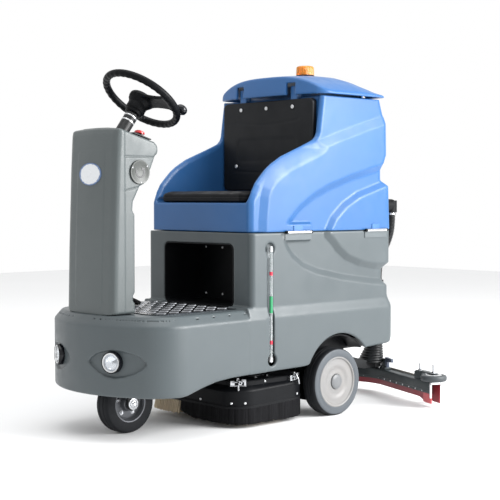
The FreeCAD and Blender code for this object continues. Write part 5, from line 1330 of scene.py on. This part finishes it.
def squeegee_head():
    """Bowed head with its clamp strip, end straps, roller arms, caster arms and lever."""
    kit = Kit()
    swept(kit, [(-HEAD_HALF, HEAD_LOW), (-HEAD_HALF, 106), (-24.5, 110.5), (-20, HEAD_TOP), (20, HEAD_TOP),
                (24.5, 110.5), (HEAD_HALF, 106), (HEAD_HALF, HEAD_LOW), (24, HEAD_LOW), (24, 104), (-24, 104),
                (-24, HEAD_LOW)])
    swept(kit, [(-28.6, 66), (-28.6, 76), (-26.8, 77.5), (-26.8, 64.5)])
    swept(kit, [(19, 112), (19, 119), (23, 120), (23, 112)], mark=2)
    for side in (1, -1):
        for along in range(60, 470, 58):
            place = head_place(side, along, 28.6, 71)
            kit.screw(place, head_turn(side) @ Vector((0, 1, 0)), 4, mark=1)
        for near, far in ((21, 29), (-29, -21)):
            head_box(kit, side, (533, near, 46), (539, far, 114), 1, mark=3)
        head_box(kit, side, (533, -29, 104), (539, 29, 114), 1, mark=3)
        head_box(kit, side, (470, 18.6, 23), (537, 24.3, 66), 0.8, mark=5)
        mirrored(kit, side, (352, 680, 111), (392, 712, 146), 3)
        plan = rounded_plan([(side * 354, 684, 4), (side * 388, 684, 4), (side * 470, 652, 8),
                             (side * 488, 660, 8), (side * 484, 678, 8), (side * 396, 710, 4),
                             (side * 354, 710, 4)][::side], 5)
        kit.slab(plan, 143.2, 149, 1.2)
        kit.rod((side * 372, 696, 146), (side * 372, 696, 180), 4.2, mark=1)
        kit.bolt((side * 372, 696, 149), (0, 0, 1), 8, 6, mark=1)
        kit.rod((side * ROLLER_X, ROLLER_Y, 111), (side * ROLLER_X, ROLLER_Y, 186), 6, mark=1)
        kit.bolt((side * ROLLER_X, ROLLER_Y, 149), (0, 0, 1), 9, 6, mark=1)
        mirrored(kit, side, (416, 708, 54), (421, 764, 72), 1)
        mirrored(kit, side, (416, 708, 54), (421, 726, 112), 1)
        kit.rod((side * 417, CASTER_Y, CASTER_Z), (side * 447, CASTER_Y, CASTER_Z), 4, mark=1)
        mirrored(kit, side, (442.5, 738, 44), (444.5, 778, 92), 0.6, mark=2)
    head_box(kit, 1, (66, -14, 112), (104, 18, 122), 3)
    head_box(kit, 1, (60, -10, 122), (84, 10, 160), 4)
    head_box(kit, 1, (84, -7, 118), (102, 9, 168), 3, mark=4)
    head_box(kit, 1, (98, -6, 148), (142, 8, 166), 3, mark=4)
    head_box(kit, 1, (24, 4, 112), (56, 22, 122), 2, mark=3)
    head_box(kit, 1, (36, 6, 120), (60, 18, 136), 3, mark=3)
    dressed(kit, "squeegee_head", "squeegee", "frame_paint", HEAD, STEEL, PALE, CHROME, SLATE, TIP_RED,
            replaces=("squeegee_body",))


def squeegee_blades():
    """Front and rear rubber blades."""
    blades = Kit()
    for outer in (23.7, -19.1):
        swept(blades, [(outer, 103.6), (outer, blade_low), (outer - 4.6, blade_low), (outer - 4.6, 103.6)])
    looks(blades, "squeegee_blades", "squeegee", "blade_red", RED_RUBBER)


def suction_nozzle():
    """Stub on the squeegee that the hose's boot slips over."""
    nozzle = Kit()
    nozzle.turned([(18, 104), (22, 104), (22, 112.4), (24.5, 112.4), (24.5, 149), (22.6, 149), (22.6, 120),
                   (18, 116), (18, 104)], (0, NOZZLE_Y, 0))
    looks(nozzle, "suction_nozzle", "squeegee", "black_plastic", BLACK)


ROLLER_SHAPE = [(6.3, 0), (46, 0), (53, 2), (56.4, 8), (57, 13.5), (56.4, 19), (53, 25), (47, 27), (38, 27),
                (36.5, 24), (20, 24), (18, 27), (6.3, 27), (6.3, 0)]
CASTER_SHAPE = [(4.2, -9), (17, -9), (18, -7.6), (20, -9), (22.6, -7.5), (24, -3), (24, 3), (22.6, 7.5),
                (20, 9), (18, 7.6), (17, 9), (4.2, 9), (4.2, -9)]


def rollers_and_casters():
    """Bumper rollers on the squeegee's ends and the small casters behind its tips."""
    for side, name in ((1, "left"), (-1, "right")):
        roller, caster = Kit(), Kit()
        spot = (side * ROLLER_X, ROLLER_Y, 115)
        roller.turned(ROLLER_SHAPE, spot, sides=64)
        roller.turned([(22, 24), (22, 27), (24, 28), (33, 28), (35, 27), (35, 24)], spot, sides=48, mark=1)
        looks(roller, "roller_" + name, "roller_" + name, "roller_grey", ROLLER, WHITE)
        caster.turned(CASTER_SHAPE, (side * CASTER_X, CASTER_Y, CASTER_Z), (1, 0, 0))
        looks(caster, "caster_" + name, "caster_" + name, "roller_grey", BLACK)


def suction_boot():
    """Bellows boot that narrows upwards from the nozzle to the hose."""
    boot = Kit()
    rings = []
    for share in (step / 72 for step in range(73)):
        reach = 60 - 29 * share + 1.8 * math.cos(2 * math.pi * 9 * share)
        rings.append([(26 * share + reach * math.cos(angle), 795 + 4 * share + reach * math.sin(angle),
                       145 + 105 * share) for angle in np.arange(40) * math.pi / 20])
    boot.loft(rings)
    dressed(boot, "suction_boot", "squeegee_arm", "black_plastic", HOSE, sharp=60)


squeegee_head()
squeegee_blades()
suction_nozzle()
rollers_and_casters()
suction_boot()


# ---------------------------------------------------------------- platform, pedal and foot recess


def tread_plate():
    """Tread plate with groups of five bars, alternately turned, cut round the pod's foot; its base plate is a
    darker copy of the bars' metal, as painted shade.
    """
    kit = Kit()
    plan = rounded_plan([(-255, -272, 3), (255, -272, 3), (255, -690, 60), (156, -690, 1), (156, -685, 1),
                         (-156, -685, 1), (-156, -690, 1), (-255, -690, 60)], 6)
    # base plate in the darker copy of the bar metal: painted shade between the bars
    kit.slab(plan, 470.2, 473, 0.8, mark=1)
    pitch, long, gap = 43, 19, 8.2
    for column in range(-16, 17):
        for row in range(-16, 17):
            middle = np.array([(column - row) * pitch, (column + row) * pitch]) / math.sqrt(2) + (0, -480)
            run = np.array([1, 1]) if (column + row) % 2 else np.array([1, -1])
            run = run / math.sqrt(2)
            across = np.array([-run[1], run[0]])
            for bar in range(-2, 3):
                spot = middle + across * bar * gap
                ends = [spot - run * long, spot + run * long]
                if max(abs(end[0]) for end in ends) > 250 or not all(-686 < end[1] < -277 for end in ends):
                    continue
                if any(abs(end[0]) > 215 and end[1] < -650 for end in ends):
                    continue
                outline = [ends[0], spot - run * long * 0.6 - across * 1.5, spot - across * 2,
                           spot + run * long * 0.6 - across * 1.5, ends[1],
                           spot + run * long * 0.6 + across * 1.5, spot + across * 2,
                           spot - run * long * 0.6 + across * 1.5]
                crest = [spot + (point - spot) * 0.72 for point in outline]
                kit.loft([[(*point, 472.8) for point in outline], [(*point, 474.4) for point in crest]])
    dressed(kit, "platform_tread_plate", "chassis", "tread_plate", TREAD, TREAD_SHADED_BASE,
            replaces=("platform_plate",), sharp=40)


PEDAL_TILT = math.radians(22)


def pedal_ribs():
    """Rubber ribs across the accelerator pedal."""
    pedal = Kit()
    for rib in range(12):
        along = 12 + rib * 10
        y = -478 - along * math.cos(PEDAL_TILT) + 8 * math.sin(PEDAL_TILT)
        z = 484 + along * math.sin(PEDAL_TILT) + 8 * math.cos(PEDAL_TILT)
        pedal.rod((-184, y, z), (-121, y, z), 2.4)
    dressed(pedal, "pedal_ribs", "accelerator_pedal", "black_plastic", TYRE)


def recess_screws():
    """Screws round the foot recess."""
    recess = Kit()
    for sx in (-165, -60, 60, 165):
        for sz in (500, 696):
            recess.screw((sx, -79, sz), (0, -1, 0), 5)
    dressed(recess, "recess_screws", "chassis", "steel", WHITE)


tread_plate()
pedal_ribs()
recess_screws()


# ---------------------------------------------------------------- lamps, beacon, gauge and hinges


def headlamps():
    """Black barrels with white rings round reflectors, and clear domed lenses."""
    barrels, glass = Kit(), Kit()
    for side in (1, -1):
        outward = Vector((side * LAMP_X, LAMP_Y - BUMPER_CENTRE, 0)) / BUMPER_ARC
        place = Vector((side * LAMP_X, LAMP_Y, LAMP_Z)) + outward * 5
        barrels.turned([(36.6, 22), (40, 22), (40, -3), (39, -5), (37.4, -5), (36.6, -3), (36.6, 22)], place,
                       -outward, 64)
        barrels.turned([(36.4, 4), (36.4, -3), (35.4, -4.4), (32, -3.6), (31, -1), (31, 4), (36.4, 4)], place,
                       -outward, 64, mark=1)
        barrels.turned([(31, 3), (29, 9), (22, 15), (12, 19), (0, 20)], place, -outward, 48, mark=2)
        barrels.turned([(0, 10), (3.5, 10.6), (5, 13), (5, 20)], place, -outward, 24, mark=1)
        glass.turned([(0, -1.4), (12, -0.9), (21, 0.6), (27, 2.4), (30.8, 4), (30.8, 6), (26, 4.6), (20, 2.8),
                      (11, 1.3), (0, 0.8)], place, -outward, 48)
    dressed(barrels, "headlamp_barrels", "chassis", "black_gloss", GLOSS, WHITE, CHROME,
            replaces=("headlight_bezels",))
    dressed(glass, "headlamp_glass", "chassis", "clear_lens", CLEAR, replaces=("headlight_lenses",))


def beacon():
    """Amber ribbed beacon on a dark base, with its lamp inside."""
    base, lens = Kit(), Kit()
    base.turned([(0, 0.2), (43.4, 0.2), (43.4, 3), (42, 5), (41, 6), (41, 9), (38, 11.6), (0, 11.6)],
                (0, 353, 1426), (0, 0, 1), 56)
    base.turned([(0, 0), (16, 0), (16, 9), (9, 10), (9, 24), (6, 28), (0, 29)], (0, 353, 1437.6), (0, 0, 1),
                32, mark=1)
    rings = []
    for height, radius, wave in ((1438.2, 38.4, 0.5), (1442, 38.4, 0.7), (1470, 37.2, 0.7),
                                 (1475, 34.5, 0.4), (1477.4, 28, 0.1), (1478, 16, 0), (1478, 1, 0),
                                 (1475.4, 1, 0), (1475, 26, 0), (1470, 33, 0), (1440, 35.5, 0),
                                 (1438.2, 35.5, 0)):
        rings.append([((radius + wave * math.cos(30 * angle)) * math.cos(angle),
                       353 + (radius + wave * math.cos(30 * angle)) * math.sin(angle), height)
                      for angle in np.arange(240) * math.pi / 120])
    lens.loft(rings + rings[:1], caps=False)
    dressed(base, "beacon_foot", "tank_lid", "black_plastic", BLACK, BULB, replaces=("beacon_base",))
    dressed(lens, "beacon_dome", "tank_lid", "amber_lens", AMBER, replaces=("beacon_lens",))


def level_gauge():
    """Clear level tube between two fittings, with its level marks."""
    fittings, glass = Kit(), Kit()
    for low, high in ((259, 282), (692, 715)):
        fittings.turned([(0, low), (7, low), (8, low + 2), (8, high - 6), (6.6, high - 4), (6.6, high),
                         (0, high)], (GAUGE_X, GAUGE_Y, 0), sides=6)
        fittings.rod((GAUGE_X - 10, GAUGE_Y, low + 10), (GAUGE_X + 2, GAUGE_Y, low + 10), 5)
    for low, high, mark in ((330, 344, 1), (452, 518, 2), (600, 614, 1)):
        fittings.turned([(6.25, low), (6.6, low), (6.6, high), (6.25, high), (6.25, low)],
                        (GAUGE_X, GAUGE_Y, 0), sides=24, mark=mark)
    glass.turned([(5.0, 274), (6.1, 274), (6.1, 700), (5.0, 700), (5.0, 274)], (GAUGE_X, GAUGE_Y, 0),
                 sides=24)
    dressed(fittings, "gauge_fittings", "chassis", "steel", WHITE, RED_MARK, GREEN_MARK)
    dressed(glass, "gauge_glass", "chassis", "gauge_clear", TUBE, replaces=("level_tube",))


def hinge_ends():
    """Dark caps on the ends of the tank's side hinges, with a bright rod between each pair."""
    kit = Kit()
    for side in (1, -1):
        for low, high in ((-90, 59), (385, 524)):
            for y, way in ((low, -1), (high, 1)):
                kit.rod((side * 327, y, SEAM), (side * 327, y - way * 9, SEAM), 6.6)
            kit.rod((side * 327, low + 8, SEAM), (side * 327, high - 8, SEAM), 6.3, mark=1)
    dressed(kit, "hinge_end_caps", "chassis", "steel", BLACK, CHROME)


headlamps()
beacon()
level_gauge()
hinge_ends()


# ---------------------------------------------------------------- pod's badge, disc, panel and column


def badge():
    """Plain oval badge following the pod's bowed front."""
    kit = Kit()
    steps = np.arange(72) * math.pi / 36
    rings = []
    for share, proud in ((1, 0.2), (1, 2.6), (0.985, 3.7), (0.95, 4), (0.925, 3.6), (0.91, 3), (0.9, 2.9),
                         (0.6, 3.6), (0.3, 4), (0.02, 4.1)):
        ring = [(68 * share * math.cos(a), 42 * share * math.sin(a)) for a in steps]
        rings.append([(x, -798.4 + 0.0358 * z + 0.00035 * x * x - proud, 992 + z) for x, z in ring])
    kit.loft(rings[:6], mark=1)
    kit.loft(rings[5:])
    dressed(kit, "front_badge", "chassis", "white_badge", BADGE, BADGE_RING, replaces=("badge_disc",))


def side_disc():
    """Round plate on the pod's side with three screws and a plain turned arrow."""
    kit = Kit()
    place = Vector((150, -682, 999))
    kit.turned([(0, 0.2), (44, 0.2), (45, 1.4), (44.6, 3.2), (43.4, 4), (38, 4), (37, 3.4), (0, 3.4)], place,
               (1, 0, 0), 72)
    for angle, dy, dz in ring(39, 3, 0.6):
        kit.screw(place + Vector((3.6, dy, dz)), (1, 0, 0), 3.6, mark=1)
    band = [math.radians(value) for value in range(150, 391, 10)]
    bow = [(22 * math.cos(a), 22 * math.sin(a)) for a in band]
    bow += [(15 * math.cos(a), 15 * math.sin(a)) for a in band[::-1]]
    tip = [(reach * math.cos(a), reach * math.sin(a))
           for reach, a in ((9, band[-1]), (28, band[-1]), (18.5, band[-1] + 0.8))]
    for plan in (bow, tip):
        kit.slab([(y - 682, 999 + z) for y, z in plan], 153.2, 154.1, 0.2, way="x", mark=2)
    dressed(kit, "pod_side_disc", "chassis", "panel_dark", PLATE, WHITE, GLOSS,
            replaces=("column_side_plate",))


PANEL_SLOPE = math.radians(15.8)
PANEL_TURN = Matrix(((1, 0, 0), (0, math.cos(PANEL_SLOPE), math.sin(PANEL_SLOPE)),
                     (0, -math.sin(PANEL_SLOPE), math.cos(PANEL_SLOPE))))
PANEL_UP = PANEL_TURN @ Vector((0, 0, 1))


def panel_spot(x, along, up):
    """A place on the pod's sloping top: sideways, down the slope and above it."""
    return PANEL_TURN @ Vector((x, along, up)) + Vector((0, -650, 1132.5))


def controls():
    """Emergency stop, horn button, key, and the small lamps and switches of the panel."""
    stop, horn, key, lamps = Kit(), Kit(), Kit(), Kit()
    stop.turned([(0, 9.6), (9, 9.6), (9, 16.4), (0, 16.4)], panel_spot(84, 14, 0), PANEL_UP, 32, mark=1)
    stop.turned([(9, 16.2), (18.6, 16.2), (20, 17.6), (20, 21), (18.5, 25), (13, 28.4), (6, 30.4), (0, 31)],
                panel_spot(84, 14, 0), PANEL_UP, 48)
    horn.turned([(0, 7.7), (9, 7.7), (9, 11.4), (7.4, 13), (0, 12.2)], panel_spot(-60, 20, 0), PANEL_UP, 32)
    key.turned([(0, 4.3), (9, 4.3), (9, 10), (8, 11.3), (0, 11.3)], panel_spot(-98, 14, 0), PANEL_UP, 32)
    key.box((-1.5, -9, 11), (1.5, 9, 35), 1.4, panel_spot(-98, 14, 0), PANEL_TURN, mark=1)
    for x, mark in ((-20, 1), (0, 2), (20, 1), (40, 0)):
        lamps.turned([(5.5, 4), (5.5, 5), (4.4, 5.6), (0, 6.4)], panel_spot(x, -24, 0), PANEL_UP, 20,
                     mark=mark)
    for x in (-30, 30, 54):
        lamps.box((-7, -5, 4), (7, 5, 6.4), 1, panel_spot(x, -4, 0), PANEL_TURN)
    looks(stop, "emergency_stop", "emergency_stop", "red_button", RED, BLACK)
    looks(horn, "horn_button", "horn_button", "black_plastic", GLOSS)
    looks(key, "ignition_key", "ignition_key", "steel", STEEL, BLACK)
    dressed(lamps, "panel_lamps", "chassis", "panel_dark", GLOSS, GREEN_MARK, RED_MARK)


KNOB_ANGLE = 52


def column():
    """Spinner knob on the rim and the two bands on the column's tube."""
    axis = Vector((0, math.sin(COLUMN_TILT), math.cos(COLUMN_TILT)))
    slope = Vector((0, math.cos(COLUMN_TILT), -math.sin(COLUMN_TILT)))
    middle = Vector((0, RIM_Y, RIM_Z))
    angle = math.radians(KNOB_ANGLE)
    seat = middle + Vector((1, 0, 0)) * RIM_RADIUS * math.cos(angle) + slope * RIM_RADIUS * math.sin(angle)
    knob, bands = Kit(), Kit()
    knob.turned([(0, 0), (9, 0), (9, 8), (16, 11), (22, 16), (24.5, 24), (23, 32), (18, 38.6), (9, 42.4),
                 (0, 43)], seat + axis * 14.8, axis, 40)
    looks(knob, "spinner_knob", "spinner_knob", "black_plastic", GLOSS)
    for start in (-118, -96):
        bands.turned([(25.6, start), (26.8, start + 1), (26.8, start + 6), (25.6, start + 7)], middle, axis,
                     40)
    dressed(bands, "column_bands", "chassis", "steel", WHITE)


badge()
side_disc()
controls()
column()


# ---------------------------------------------------------------- pieces inside and small fittings


def battery_caps():
    """Filler caps and terminals on the four batteries."""
    kit = Kit()
    for side in (1, -1):
        for start in (-48, 214):
            for cap in range(6):
                kit.turned([(0, 0), (10, 0), (9, 5), (0, 6)], (side * 60, start + 34 + cap * 38, 631),
                           (0, 0, 1), 16)
            for y in (start + 26, start + 232):
                kit.rod((side * 180, y, 630), (side * 180, y, 648), 8, mark=1)
    dressed(kit, "battery_caps", "chassis", "battery_case", BLACK, STEEL)


def clamp_bands():
    """Worm-drive bands on the hose ends."""
    kit, lower = Kit(), Kit()
    kit.turned([(22.4, 0), (24, 0), (24, 9), (22.4, 9), (22.4, 0)], (250, 636, 829), (0, 0, 1), 40)
    kit.box((-7, -30, 0), (7, -22, 9), 1.5, (250, 636, 829))
    lower.turned([(28, 0), (29, 0), (29, 9), (28, 9), (28, 0)], (212, 592, 512), (0, 0, 1), 40)
    lower.box((26, -6, 0), (34, 6, 9), 1.5, (212, 592, 512))
    dressed(kit, "upper_hose_band", "recovery_tank", "steel", STEEL)
    dressed(lower, "hose_cuff_band", "chassis", "steel", STEEL)


battery_caps()
clamp_bands()
CAD_FINISHES = {
    PAINT: ("chassis_frame", "squeegee_arm", "column_tube", "vacuum_motor"),
    BLACK: ("battery_box", "leg_recess_liner", "accelerator_pedal", "hose_elbow", "hose_clip"),
    STEEL: ("rear_axle", "steering_shaft", "lower_steering_shaft", "steering_chain", "deck_actuator"),
    BLUE: ("hinge_knuckles",),
    GREY: ("hinge_leaves",),
    BATTERY: ("battery_pack",),
    PANEL: ("control_panel",),
    RIM_LIGHT: ("float_filter",),
}
for surface_finish, names in CAD_FINISHES.items():
    for name in names:
        paint(NODES[name], surface_finish)


# ---------------------------------------------------------------- floor, light and the end


def studio():
    """Pale floor and an even white surround."""
    kit = Kit()
    kit.box((-9000, -9000, -20), (9000, 9000, 0), 2)
    pale = finish("studio_floor", (0.84, 0.845, 0.85), 0.75, spread=0.006, grain=0.0, rough_spread=0.03,
                  scale=0.6)
    kit.done("floor", None, pale)
    world = bpy.data.worlds.new("studio")
    bpy.context.scene.world = world
    world.use_nodes = True
    background = world.node_tree.nodes["Background"].inputs
    background["Color"].default_value = (1, 1, 1, 1)
    background["Strength"].default_value = 1.0


def soft_light(name, place, size, power, aim):
    """A square soft box that faces a point."""
    lamp = bpy.data.lights.new(name, "AREA")
    lamp.size = size
    lamp.energy = power
    thing = add_object(name, lamp)
    thing.location = place
    thing.rotation_euler = (Vector(aim) - Vector(place)).to_track_quat("-Z", "Y").to_euler()


studio()
soft_light("key_light", (4.2, 2.2, 2.4), 3.2, 540, (0, 0, 0.7))
soft_light("top_light", (0.5, -0.5, 4.5), 3.5, 90, (0, 0, 0.5))
